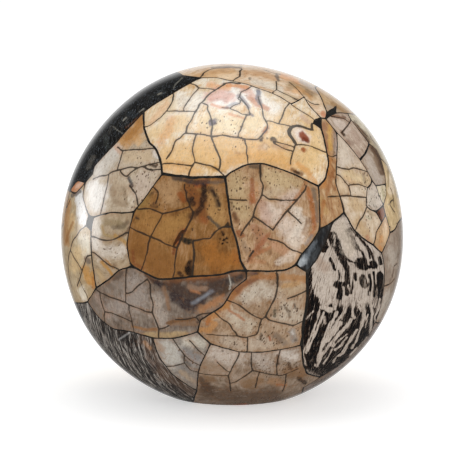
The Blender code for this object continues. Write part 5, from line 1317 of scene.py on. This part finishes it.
class Graph:
    """A short way to write a material's nodes."""

    def __init__(self, name):
        self.material = bpy.data.materials.new(name)
        self.material.use_nodes = True
        self.tree = self.material.node_tree
        self.shader = self.tree.nodes["Principled BSDF"]

    def put(self, socket, value):
        if isinstance(value, bpy.types.NodeSocket):
            self.tree.links.new(value, socket)
        elif isinstance(value, tuple) and len(value) == 3 and socket.type == "RGBA":
            socket.default_value = (*value, 1.0)
        else:
            socket.default_value = value

    def node(self, kind, **settings):
        made = self.tree.nodes.new(kind)
        for key, value in settings.items():
            setattr(made, key, value)
        return made

    def attribute(self, name):
        return self.node("ShaderNodeAttribute", attribute_name=name).outputs["Vector"]

    def position(self):
        return self.scaled(self.node("ShaderNodeNewGeometry").outputs["Position"], (MM, MM, MM))

    def parts(self, vector):
        made = self.node("ShaderNodeSeparateXYZ")
        self.put(made.inputs[0], vector)
        return made.outputs

    def maths(self, operation, *values, clamp=False):
        made = self.node("ShaderNodeMath", operation=operation, use_clamp=clamp)
        for socket, value in zip(made.inputs, values):
            self.put(socket, value)
        return made.outputs[0]

    def scaled(self, vector, scale):
        made = self.node("ShaderNodeVectorMath", operation="MULTIPLY")
        self.put(made.inputs[0], vector)
        self.put(made.inputs[1], scale)
        return made.outputs[0]

    def noise(self, vector, scale=1.0, detail=3.0, roughness=0.5, distortion=0.0):
        made = self.node("ShaderNodeTexNoise")
        self.put(made.inputs["Vector"], vector)
        for key, value in (("Scale", scale), ("Detail", detail), ("Roughness", roughness),
                           ("Distortion", distortion)):
            made.inputs[key].default_value = value
        return made.outputs[0]

    def cells(self, vector, scale):
        made = self.node("ShaderNodeTexVoronoi")
        self.put(made.inputs["Vector"], vector)
        made.inputs["Scale"].default_value = scale
        return made.outputs

    def spread(self, value, low, high, to_low=0.0, to_high=1.0, smooth=True):
        made = self.node("ShaderNodeMapRange", interpolation_type="SMOOTHSTEP" if smooth else "LINEAR")
        for key, number in zip(("Value", "From Min", "From Max", "To Min", "To Max"),
                               (value, low, high, to_low, to_high)):
            self.put(made.inputs[key], number)
        return made.outputs[0]

    def mix(self, share, a, b, blend="MIX"):
        made = self.node("ShaderNodeMix", data_type="RGBA", blend_type=blend, clamp_factor=True)
        self.put(made.inputs[0], share)
        self.put(made.inputs[6], a)
        self.put(made.inputs[7], b)
        return made.outputs[2]

    def first(self, colour):
        made = self.node("ShaderNodeSeparateColor")
        self.put(made.inputs[0], colour)
        return made.outputs[0]

    def twice(self, value):
        made = self.node("ShaderNodeCombineXYZ")
        self.put(made.inputs[0], value)
        self.put(made.inputs[1], value)
        return made.outputs[0]

    def ramp(self, share, stops):
        made = self.node("ShaderNodeValToRGB")
        self.put(made.inputs[0], share)
        elements = made.color_ramp.elements
        while len(elements) < len(stops):
            elements.new(0.5)
        for element, (place, colour) in zip(elements, stops):
            element.position = place
            element.color = (*hexed(colour), 1.0)
        return made.outputs[0]


# Fine textures of the stone and the resin: scale per mm, detail, roughness and distortion
GRIT = (0.55, 5.0, 0.68)
MOTTLE = (0.21, 7.0, 0.74, 0.7)
BEND = (0.05, 2.0, 0.5)
RAGGED = (0.9, 3.0, 0.7)
UNEVEN = (0.16, 2.0, 0.5)
WAVES = (0.045, 2.0, 0.5)
PORE_SIZE = (0.4, 2.0, 0.5)
# Textures that follow the grain: scale per mm across and along it
FINE_GRAIN = (2.4, 0.4, 1.0)
PORE_GRAIN = (0.5, 0.3, 1.0)
HAIR_GRAIN = (1.15, 0.16, 1.0)
FINER_STREAKS = 2.7
FLECKS_PER_MM = 0.52
HALO_WIDTH = 3.2
BROWN_FILLING = "35200F"
RESIN_COLOURS = [(0.35, "1B1A19"), (0.55, "24221F"), (0.72, "37332E")]

# The polish
POLISH_IOR = 1.5
POLISH_SPECULAR = 0.34
WAVE_HEIGHT = 0.001


def polish(g, height, strength):
    """The gloss of a ground and polished surface with slight waves."""
    g.shader.inputs["IOR"].default_value = POLISH_IOR
    g.shader.inputs["Specular IOR Level"].default_value = POLISH_SPECULAR
    bump = g.node("ShaderNodeBump")
    bump.inputs["Strength"].default_value = strength
    bump.inputs["Distance"].default_value = WAVE_HEIGHT
    g.put(bump.inputs["Height"], height)
    g.put(g.shader.inputs["Normal"], bump.outputs[0])


def stone(name, look):
    """Polished petrified wood: streaked and clouded stone with its marks, some painted highlights, sheen,
    reflections and a painted shadow, pores and filled cracks.
    """
    g = Graph(name)
    position = g.position()
    grain = g.attribute("grain")
    far, crack_tone, cell_tone = g.parts(g.attribute("crack"))
    pores, bands, slab_edge = g.parts(g.attribute("marks"))

    across, along = look["streak"]
    cloud = g.noise(position, look["cloud"], 6.0, 0.62, 0.8)
    bend = g.noise(position, *BEND)
    swayed = g.node("ShaderNodeVectorMath", operation="ADD")
    g.put(swayed.inputs[0], grain)
    g.put(swayed.inputs[1], g.scaled(g.twice(bend), (look["sway"], look["sway"], 0.0)))
    streak = g.noise(g.scaled(swayed.outputs[0], (across, along, 1.0)), 1.0, 5.0, 0.62, 0.35)
    if look["second"]:
        size = (across * FINER_STREAKS, along * FINER_STREAKS, 1.0)
        finer = g.noise(g.scaled(swayed.outputs[0], size), 1.0, 3.0, 0.6, 0.3)
        streak = g.maths("ADD", g.maths("MULTIPLY", streak, 1.0 - look["second"]),
                         g.maths("MULTIPLY", finer, look["second"]))
    share = g.maths("ADD", g.maths("MULTIPLY", streak, look["streakiness"]),
                    g.maths("MULTIPLY", cloud, 1.0 - look["streakiness"]))
    share = g.maths("ADD", share, g.maths("MULTIPLY", bands, look["bands"]))
    shift = g.spread(cell_tone, 0.0, 1.0, -look["cells"], look["cells"], smooth=False)
    share = g.maths("ADD", share, shift)
    reach = look["spread"]
    colours = look["colours"]
    places = [0.5 - reach + 2 * reach * i / (len(colours) - 1) for i in range(len(colours))]
    colour = g.ramp(share, list(zip(places, colours)))

    tint = g.node("ShaderNodeAttribute", attribute_name="tint")
    grit = g.noise(position, *GRIT)
    patchy = g.maths("ADD", g.maths("MULTIPLY", grit, 0.5), g.maths("MULTIPLY", streak, 0.5))
    alpha = tint.outputs["Alpha"]
    breakup = g.maths("MULTIPLY", g.maths("SUBTRACT", patchy, 0.47), 6.0)
    breakup = g.maths("MULTIPLY", breakup, g.maths("MULTIPLY", alpha, g.maths("SUBTRACT", 1.15, alpha)))
    fade = g.maths("ADD", alpha, breakup, clamp=True)
    fade = g.maths("MULTIPLY", fade, look["stain_and_light_strength"])
    # The marks laid in here include painted highlights, painted sheen, painted reflections and a painted
    # shadow; the shade then multiplies in each slab's colour correction, partly a painted veil of mirrored
    # light on many slabs.
    colour = g.mix(1.0, g.mix(fade, colour, tint.outputs["Color"]), look["shade"], "MULTIPLY")
    mottle = g.noise(position, *MOTTLE)
    warm = g.maths("MULTIPLY", g.spread(mottle, 0.5, 0.68), look["mottle"])
    colour = g.mix(warm, colour, hexed(look["halo_colour"]))
    pale = g.maths("MULTIPLY", g.spread(mottle, 0.46, 0.3), look["mottle"] * 0.8)
    colour = g.mix(pale, colour, hexed(look["colours"][-1]))
    fine = g.noise(g.scaled(grain, FINE_GRAIN), 1.0, 4.0, 0.7)
    tone = g.maths("ADD", g.maths("MULTIPLY", fine, 0.4), g.maths("MULTIPLY", grit, 0.3))
    tone = g.maths("ADD", tone, g.maths("MULTIPLY", cloud, 0.3))
    tone = g.spread(tone, 0.34, 0.66, 1.0 - look["texture"], 1.0 + look["texture"] * 0.7, smooth=False)
    colour = g.mix(1.0, colour, tone, "MULTIPLY")

    dots = g.cells(g.scaled(grain, PORE_GRAIN), 1.0)
    rare = g.maths("LESS_THAN", g.first(dots["Color"]), g.maths("ADD", pores, look["pores"]))
    size = g.spread(g.noise(position, *PORE_SIZE), 0.3, 0.7, 0.16, 0.44)
    dot = g.maths("SUBTRACT", size, dots["Distance"])
    dot = g.maths("MULTIPLY", g.spread(dot, -0.05, 0.08), rare)
    colour = g.mix(g.maths("MULTIPLY", dot, 0.82), colour, hexed(look["pore_colour"]))

    hair = g.noise(g.scaled(swayed.outputs[0], HAIR_GRAIN), 1.0, 3.0, 0.6, 0.5)
    hair = g.maths("MULTIPLY", g.spread(hair, 0.56, 0.63), g.spread(mottle, 0.4, 0.6, 0.35, 1.0))
    colour = g.mix(g.maths("MULTIPLY", hair, look["hairs"]), colour, hexed(look["pore_colour"]))

    flecks = g.cells(position, FLECKS_PER_MM)
    common = g.maths("ADD", g.spread(mottle, 0.44, 0.66, 0.0, look["specks"] * 3.0),
                     g.spread(far, 0.2, 3.0, look["specks"] * 1.5, 0.0))
    fleck = g.spread(flecks["Distance"], 0.14, 0.36, 1.0, 0.0)
    fleck = g.maths("MULTIPLY", fleck, g.maths("LESS_THAN", g.first(flecks["Color"]), common))
    colour = g.mix(g.maths("MULTIPLY", fleck, 0.7), colour, hexed(look["pore_colour"]))

    ragged = g.maths("MULTIPLY", g.maths("SUBTRACT", g.noise(position, *RAGGED), 0.5), 0.8)
    gap = g.maths("ADD", far, ragged)
    uneven = g.maths("MULTIPLY", g.maths("SUBTRACT", g.noise(position, *UNEVEN), 0.5), 2.2)
    edge = g.maths("ADD", slab_edge, g.maths("ADD", ragged, uneven))
    near = g.maths("MINIMUM", gap, g.maths("MULTIPLY", edge, 0.8))
    halo = g.maths("MULTIPLY", g.spread(near, 0.0, HALO_WIDTH, 1.0, 0.0),
                   g.spread(cloud, 0.38, 0.62, 0.05, look["halo"]))
    halo = g.maths("MULTIPLY", halo, g.spread(grit, 0.3, 0.65, 0.4, 1.25))
    colour = g.mix(halo, colour, hexed(look["halo_colour"]))
    dark = g.mix(crack_tone, hexed(look["crack_colour"]), hexed(BROWN_FILLING))
    line = g.spread(gap, -0.2, 0.3, 1.0, 0.0)
    rim = g.spread(edge, -0.3, 0.25, 0.55, 0.0)
    line = g.maths("MAXIMUM", g.maths("MULTIPLY", line, look["crack"]), rim)
    colour = g.mix(line, colour, dark)
    g.put(g.shader.inputs["Base Color"], colour)

    wear = g.spread(grit, 0.3, 0.75, look["rough"] * 0.8, look["rough"] * 1.35)
    g.put(g.shader.inputs["Roughness"], wear)
    waves = g.noise(position, *WAVES)
    height = g.maths("SUBTRACT", g.maths("MULTIPLY", waves, 0.5), g.maths("MULTIPLY", line, 0.02))
    height = g.maths("SUBTRACT", height, g.maths("MULTIPLY", dot, 0.05))
    polish(g, height, 0.5)
    return g.material


def resin():
    """Cast black resin, ground flush and polished, with faint grey clouds."""
    g = Graph("resin_body")
    position = g.position()
    cloud = g.noise(position, 0.2, 4.0, 0.6)
    g.put(g.shader.inputs["Base Color"], g.ramp(cloud, RESIN_COLOURS))
    g.put(g.shader.inputs["Roughness"], g.spread(cloud, 0.3, 0.7, 0.1, 0.22))
    polish(g, g.maths("MULTIPLY", g.noise(position, *WAVES), 0.5), 0.6)
    return g.material


# Plain stone: which way its grain runs, in degrees in the picture, and how much it has of each texture.
# Streak is the scale per mm across and along the grain, and shade is laid over the stone's colours: it
# corrects each slab's colour, and on many slabs it also lifts it a little as a painted veil of the pale
# light that the polish no longer mirrors from the floor.
PLAIN = {
    "grain": ("straight", 90), "streak": (0.5, 0.06), "streakiness": 0.5, "cloud": 0.09, "spread": 0.16,
    "texture": 0.23, "pores": 0.0, "pore_colour": "4A3526", "halo": 0.4, "halo_colour": "8A5E38",
    "crack": 0.92, "crack_colour": "33302B", "rough": 0.14, "sway": 14.0, "cells": 0.05,
    "second": 0.0, "bands": 1.0, "step": None, "mottle": 0.3, "specks": 0.13,
    "shade": (1.0, 1.0, 1.0), "hairs": 0.3, "stain_and_light_strength": 1.0,
}

# Each slab's stone: its colours from dark to light, and what sets it apart from plain stone
LOOKS = {
    "slab_cream_top": {"colours": ["D2A26C", "E4C296", "EFDABB", "EFE2CF"], "grain": ("straight", 75),
        "mottle": 0.22, "specks": 0.03, "shade": (0.97, 1.03, 1.12)},
    "slab_tan_crown": {"colours": ["A9794A", "CBA478", "DEC29A", "C9B08A"], "grain": ("straight", 10),
        "mottle": 0.2, "stain_and_light_strength": 0.75, "shade": (1.11, 1.19, 1.45), "halo_colour": "A08460"},
    "slab_tan_shoulder": {"colours": ["B08A60", "CFAF85", "DCC5A0"], "grain": ("straight", 100)},
    "slab_mauve_upper": {"colours": ["96806E", "BFAE9F", "CFC2B6"], "grain": ("straight", 100),
        "shade": (1.08, 1.05, 1)},
    "slab_pale_shoulder": {"colours": ["A39478", "C9BDA0", "D8D0BC"], "grain": ("straight", 110),
        "shade": (1.02, 0.97, 0.9)},
    "slab_brown_shoulder": {"colours": ["78624F", "A38F7C", "BEAE9D"], "grain": ("straight", 120),
        "shade": (1.1, 1.13, 1.13)},
    "slab_rust_strip": {"colours": ["8E5630", "B48456", "CAA57A"], "grain": ("straight", 95),
        "stain_and_light_strength": 0.65, "shade": (1.04, 1.26, 1.58)},
    "slab_tan_right": {"colours": ["B08A62", "CFB89A", "DCCAB0"], "grain": ("straight", 95), "stain_and_light_strength": 0.65,
        "shade": (1, 1.03, 1.1)},
    "slab_speckled": {"colours": ["B0A090", "CDC0B0", "DCD2C4"], "specks": 0.35, "pore_colour": "4A4038",
        "stain_and_light_strength": 0.4},
    "slab_cream_sliver": {"colours": ["C9B591", "DCCDB0", "E8DDC8"]},
    "slab_red_wedge": {"colours": ["43200F", "5A2C17", "6E3A20"]},
    "slab_khaki_rim": {"colours": ["9C8862", "BFAD8A", "D2C3A4"], "grain": ("straight", 90),
        "shade": (1.35, 1.25, 1.16)},
    "slab_tan_low": {"colours": ["A07A54", "C09C74", "D0B28C"], "stain_and_light_strength": 0.7},
    "slab_mauve_rim": {"colours": ["766458", "948274", "A8998B"], "grain": ("straight", 85),
        "shade": (1.04, 1.05, 1.01)},
    "slab_zebra": {"colours": ["0E0D0D", "1B1817", "7F6D5A", "BBA78F", "D0BFA8"],
        "grain": ("arcs", (64.7, 14), (44, -84)), "streak": (0.42, 0.035), "streakiness": 0.95,
        "second": 0.5, "spread": 0.05, "sway": 5, "cells": 0, "bands": 0.2, "texture": 0.3, "mottle": 0,
        "hairs": 0.85, "specks": 0.1, "shade": (0.82, 0.84, 0.94), "halo": 0, "crack": 0, "step": 0.0007},
    # The plug is black stone; its bluish top colour and the strong shade paint a sheen of mirrored light
    # across it.
    "slab_black_plug": {"colours": ["0B0B0C", "17191D", "2C3036"], "mottle": 0, "hairs": 0, "specks": 0,
        "shade": (2.47, 2.27, 1.92), "halo": 0, "rough": 0.1},
    "slab_pink_centre": {"colours": ["8E6C52", "B0906F", "C4A68C", "D2BBA6"], "grain": ("straight", 80),
        "mottle": 0.4, "specks": 0.16, "stain_and_light_strength": 0.85, "shade": (0.93, 0.89, 0.81)},
    "slab_amber": {"colours": ["764A20", "8F6230", "A5763F", "B98E5C"], "grain": ("straight", 80),
        "shade": (0.71, 0.71, 0.83)},
    "slab_pale_left": {"colours": ["A08A70", "C4B29A", "D6C9B6"], "grain": ("straight", 80),
        "shade": (0.9, 0.9, 0.9)},
    "slab_orange_chip": {"colours": ["C08258", "D8A078", "E2B898"]},
    "slab_far_left": {"colours": ["A08560", "BFA783", "D2C0A0"], "grain": ("straight", 80),
        "shade": (0.94, 0.96, 1)},
    "slab_swirl_left": {"colours": ["8A7258", "AE9879", "C2AF93"], "grain": ("rings", (-73, 5)),
        "streak": (0.3, 0.05), "shade": (0.89, 0.89, 0.92)},
    "slab_grey_lower": {"colours": ["5E5045", "7E6F63", "978A7D"], "grain": ("straight", 75),
        "shade": (0.88, 0.88, 0.87)},
    "slab_cream_lower": {"colours": ["8E6C4A", "B09272", "C4AC8E"], "grain": ("straight", 80),
        "texture": 0.22, "mottle": 0.5, "stain_and_light_strength": 0.8, "shade": (0.78, 0.8, 0.87)},
    "slab_beige_lower": {"colours": ["7C7064", "9A8E81", "AFA497"], "grain": ("straight", 70),
        "mottle": 0.4, "shade": (0.87, 0.89, 0.93)},
    "slab_brown_lower": {"colours": ["6E5A48", "94826F", "A59686"], "grain": ("straight", 70),
        "texture": 0.22, "mottle": 0.5, "shade": (1.02, 1, 1)},
    "slab_black_streaked": {"colours": ["090909", "121211", "1B1B1A", "4A4A48"], "grain": ("straight", 40),
        "streak": (0.36, 0.05), "streakiness": 0.9, "spread": 0.16, "mottle": 0, "hairs": 0.5,
        "specks": 0.3, "pore_colour": "6C747C", "shade": (0.49, 0.45, 0.41), "halo": 0, "crack": 0.3},
    "slab_streaked_lower": {"colours": ["1C1917", "332E2B", "5E5852", "7C766F", "938C84"],
        "grain": ("straight", -46), "streak": (0.36, 0.032), "streakiness": 1, "second": 0.45,
        "spread": 0.075, "sway": 8, "cells": 0, "bands": 0.5, "mottle": 0.12, "hairs": 0.6,
        "pore_colour": "1B1816", "stain_and_light_strength": 0.45, "shade": (1.6, 1.62, 1.65), "halo": 0, "crack": 0.2},
    "slab_rim_lower": {"colours": ["6C6157", "8F8278", "A89C92"], "grain": ("straight", 40),
        "shade": (0.98, 0.98, 1)},
    "slab_back_left_rim": {"colours": ["A07C54", "C2A078", "D2B894"], "grain": ("straight", 60)},
    "slab_back_right": {"colours": ["A98558", "CBAE84", "DCC8A6"], "grain": ("straight", 80)},
    "slab_back_upper_right": {"colours": ["7E6654", "A08A76", "B8A592"], "grain": ("straight", 50)},
    "slab_back_crown": {"colours": ["C08F54", "DDB57E", "EBD3AC"], "grain": ("straight", 20)},
    "slab_back_upper_left": {"colours": ["6E6155", "90816F", "A99B8A"], "grain": ("straight", 110)},
    "slab_back_left": {"colours": ["B7A079", "D2C09C", "E2D5BA"], "grain": ("straight", 95)},
    "slab_back_lower_left": {"colours": ["8A5526", "B07A42", "C79A62"], "grain": ("straight", 75)},
    "slab_back_lower_right": {"colours": ["97836B", "B9A78F", "CDBFAA"], "grain": ("straight", 120)},
    "slab_back_centre_right": {"colours": ["C59A66", "DFBF90", "EDDABA"], "grain": ("straight", 85)},
    "slab_back_centre_left": {"colours": ["1C1917", "2C2825", "8F8678", "C4B8A2"],
        "grain": ("straight", 65), "streak": (0.38, 0.04), "streakiness": 0.9, "spread": 0.12,
        "crack": 0.2},
    "slab_back_centre_low": {"colours": ["8A7A6C", "A89A8C", "C0B4A6"], "grain": ("straight", 40)},
}


# Pieces

def add_mesh(name, places, faces, material, slot):
    """A piece of the ball with its material, riding on the body and standing for its CAD node."""
    mesh = bpy.data.meshes.new(name)
    mesh.from_pydata([tuple(place) for place in places], [], faces)
    mesh.validate()
    mesh.shade_smooth()
    mesh.set_sharp_from_angle(angle=math.radians(35.0))
    mesh.materials.append(material)
    piece = bpy.data.objects.new(name, mesh)
    bpy.context.scene.collection.objects.link(piece)
    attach(piece, "root")
    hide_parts(slot)
    return piece


def slab_piece(name, ring, is_back):
    """One slab: its fine polished face, its edge and its underside. Returns its underside for the resin."""
    step = BACK_STEP if is_back else FRONT_STEP
    chart = Chart(unit(ring.sum(0)))
    look = {**PLAIN, **LOOKS[name]}
    runs = crack_runs(name, chart, ring, is_back)
    outline = chart.flat(ring)
    lines = []
    for points, _, _ in runs:
        within = inside(chart.flat(points), outline)
        gap = nearest_gap(chart.flat(points), outline) > step * CLOSEST_TO_EDGE
        kept = within & gap
        line = []
        for point, keep in zip(points, kept):
            if keep:
                line.append(point)
            elif line:
                lines.append(np.array(line))
                line = []
        if line:
            lines.append(np.array(line))
    lines = [line for line in lines if len(line) > 1]
    directions, triangles, order = net_inside(chart, ring, lines, look["step"] or step)
    under, under_triangles, under_order = net_inside(chart, ring, [], UNDERSIDE_STEP)
    top_count = len(directions)
    places = [directions * surface_radius(directions)[:, None] + CENTRE,
              under * underside_radius(under)[:, None] + CENTRE]
    faces = list(triangles)
    faces += [[top_count + corner for corner in reversed(face)] for face in under_triangles]
    count = len(ring)
    for i in range(count):
        j = (i + 1) % count
        faces.append([order[j], order[i], top_count + under_order[i], top_count + under_order[j]])
    piece = add_mesh("stone_" + name[5:], np.concatenate(places), faces, stone(name, look), name)

    everywhere = np.concatenate([directions, under])
    far, tone, middle_gap = crack_measures(everywhere, runs)
    cells = np.full(len(everywhere), 0.5)
    open_ = middle_gap[:top_count] > CELLS_FROM_CRACK
    cells[:top_count] = cell_tones(name, triangles, open_, top_count)
    crack = np.stack([far, tone, cells], 1)
    edge = nearest_gap(everywhere, ring) * BALL_RADIUS * MM
    marks = np.stack([painted(PORES, name, everywhere), painted(BANDS, name, everywhere), edge], 1)
    grain = np.concatenate([grain_places(look, chart, everywhere), np.zeros((len(far), 1))], 1)
    for key, kind, values in (("crack", "FLOAT_VECTOR", crack), ("grain", "FLOAT_VECTOR", grain),
                              ("marks", "FLOAT_VECTOR", marks),
                              ("tint", "FLOAT_COLOR", tints(name, everywhere))):
        attribute = piece.data.attributes.new(key, kind, "POINT")
        field = "color" if kind == "FLOAT_COLOR" else "vector"
        attribute.data.foreach_set(field, values.astype(np.float32).ravel())
    return under, under_triangles, under_order


def resin_piece(rings, undersides, outer):
    """The black resin: its polished face between the slabs, and the pocket that each slab sits in."""
    chart = Chart(np.array([0.0, 0.0, 1.0]))
    names = list(rings)
    starts = {}
    directions = []
    edges = []
    start = 0
    for name in names:
        starts[name] = start
        count = len(rings[name])
        edges += [(start + i, start + (i + 1) % count) for i in range(count)]
        directions.append(rings[name])
        start += count
    directions = np.concatenate(directions)
    places = chart.flat(directions)
    pockets = [list(range(starts[n], starts[n] + len(rings[n]))) for n in names if n != outer]
    net = delaunay_2d_cdt([Vector(p) for p in places], edges, pockets, 1, 1e-9, True)
    origin = [ids[0] for ids in net[3]]
    faces = [[origin[c] for c in face] for face, within in zip(net[2], net[5]) if not within]
    middles = np.array([places[face].mean(0) for face in faces])
    bounds = chart.flat(rings[outer])
    faces = [face for face, keep in zip(faces, inside(middles, bounds)) if keep]
    solid = [directions * surface_radius(directions)[:, None] + CENTRE]
    offset = len(directions)
    for name in names:
        under, triangles, order = undersides[name]
        solid.append(under * underside_radius(under)[:, None] + CENTRE)
        faces += [[offset + corner for corner in face] for face in triangles]
        count = len(rings[name])
        for i in range(count):
            j = (i + 1) % count
            faces.append([starts[name] + i, starts[name] + j, offset + order[j], offset + order[i]])
        offset += len(under)
    add_mesh("black_resin", np.concatenate(solid), faces, resin(), "resin_body")


def build():
    """Makes every piece of the ball."""
    noise.seed_set(WANDER_SEED)
    rings = {}
    undersides = {}
    for name in sorted(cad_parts):
        if name.startswith("slab_"):
            is_back = name.startswith("slab_back")
            step = BACK_STEP if is_back else FRONT_STEP
            rings[name] = fine_outline(coarse_outline(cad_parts[name]), step)
            undersides[name] = slab_piece(name, rings[name], is_back)
    resin_piece(rings, undersides, "slab_brown_lower")


# The studio: how bright its light is from the sides and from above, and how bright the polish mirrors
# its dim sides, what is straight behind the ball, and the ceiling
SIDE_LIGHT = 0.85
TOP_LIGHT = 0.78
DIM_SIDE = 0.07
BEHIND_FROM = 0.87
BEHIND = 0.9
SHEEN_FROM = 0.8
SHEEN = 4.6

# Soft windows that the polish mirrors: degrees round from the camera to the right, half width in
# degrees, lowest and highest level, and brightness
WINDOWS = [
    (-112, 17, -0.06, 0.32, 5.6),
    (124, 5, -0.06, 0.16, 2.2),
]

# Each light's place, width and height in metres, and its power in watts. The polish doesn't mirror them.
LIGHTS = [
    ("top_panel", (0.0, 0.1, 1.7), (1.1, 1.1), 6.0),
    ("front_fill", (0.5, -1.9, 1.2), (1.2, 1.0), 5.0),
]

FLOOR_GLOW = 0.5
FLOOR_REACH = 60.0


def add_light(name, place, size, power):
    """A soft rectangular light that faces the ball and isn't mirrored in it."""
    light = bpy.data.lights.new(name, "AREA")
    light.shape = "RECTANGLE"
    light.size, light.size_y = size
    light.energy = power
    lamp = bpy.data.objects.new(name, light)
    lamp.location = place
    lamp.visible_glossy = False
    aim = Vector((0.0, 0.0, FLAT_DEPTH)) - Vector(place)
    lamp.rotation_euler = aim.to_track_quat("-Z", "Y").to_euler()
    bpy.context.scene.collection.objects.link(lamp)


def add_world():
    """The surroundings: even white light, mirrored as a dim studio with a few soft bright windows."""
    world = bpy.data.worlds.new("studio")
    world.use_nodes = True
    bpy.context.scene.world = world
    g = Graph.__new__(Graph)
    g.tree = world.node_tree
    background = g.tree.nodes["Background"]
    x, y, z = g.parts(g.node("ShaderNodeTexCoord").outputs["Generated"])
    path = g.node("ShaderNodeLightPath")
    level = g.maths("SQRT", g.maths("ADD", g.maths("MULTIPLY", x, x), g.maths("MULTIPLY", y, y)))
    gloss = g.spread(y, BEHIND_FROM, 1.0, DIM_SIDE, BEHIND)
    for way, half, low, high, strength in WINDOWS:
        across, along = math.sin(math.radians(way)), -math.cos(math.radians(way))
        facing = g.maths("ADD", g.maths("MULTIPLY", x, across), g.maths("MULTIPLY", y, along))
        facing = g.maths("DIVIDE", facing, level)
        edge, core = math.cos(math.radians(half)), math.cos(math.radians(half * 0.35))
        window = g.spread(facing, edge, core)
        window = g.maths("MULTIPLY", window, g.spread(z, low - 0.08, low + 0.04))
        window = g.maths("MULTIPLY", window, g.spread(z, high - 0.1, high + 0.1, 1.0, 0.0))
        gloss = g.maths("ADD", gloss, g.maths("MULTIPLY", window, strength))
    sheen = g.spread(z, SHEEN_FROM, 1.0, 0.0, SHEEN)
    gloss = g.maths("ADD", gloss, sheen)
    soft = g.spread(z, -0.1, 0.9, SIDE_LIGHT, TOP_LIGHT)
    strength = g.node("ShaderNodeMix", data_type="FLOAT")
    g.put(strength.inputs[0], path.outputs["Is Glossy Ray"])
    g.put(strength.inputs[2], soft)
    g.put(strength.inputs[3], gloss)
    shown = g.node("ShaderNodeMix", data_type="FLOAT")
    g.put(shown.inputs[0], path.outputs["Is Camera Ray"])
    g.put(shown.inputs[2], strength.outputs[0])
    shown.inputs[3].default_value = 1.0
    background.inputs["Color"].default_value = (1.0, 1.0, 1.0, 1.0)
    g.put(background.inputs["Strength"], shown.outputs[0])


def add_studio():
    """The camera, the pale floor, the surroundings and the lights."""
    bpy.context.scene.view_settings.view_transform = "Standard"
    data = bpy.data.cameras.new("photograph")
    data.lens = LENS
    data.sensor_width = SENSOR
    camera = bpy.data.objects.new("photograph", data)
    eye = CENTRE + TOWARDS_EYE * EYE_DISTANCE
    camera.location = eye
    aim = Vector(CENTRE + PICTURE_UP * AIM_ABOVE_CENTRE - eye)
    camera.rotation_euler = aim.to_track_quat("-Z", "Y").to_euler()
    bpy.context.scene.collection.objects.link(camera)
    bpy.context.scene.camera = camera

    floor_mesh = bpy.data.meshes.new("floor")
    corners = [(x * FLOOR_REACH, y * FLOOR_REACH, 0) for x, y in ((-1, -1), (1, -1), (1, 1), (-1, 1))]
    floor_mesh.from_pydata(corners, [], [(0, 1, 2, 3)])
    floor = bpy.data.objects.new("floor", floor_mesh)
    bpy.context.scene.collection.objects.link(floor)
    g = Graph("floor")
    g.shader.inputs["Base Color"].default_value = (0.7, 0.7, 0.7, 1.0)
    g.shader.inputs["Roughness"].default_value = 0.9
    g.shader.inputs["Specular IOR Level"].default_value = 0.1
    g.shader.inputs["Emission Color"].default_value = (1.0, 1.0, 1.0, 1.0)
    g.shader.inputs["Emission Strength"].default_value = FLOOR_GLOW
    floor_mesh.materials.append(g.material)
    floor.visible_glossy = False

    add_world()
    for name, place, size, power in LIGHTS:
        add_light(name, place, size, power)


build()
add_studio()
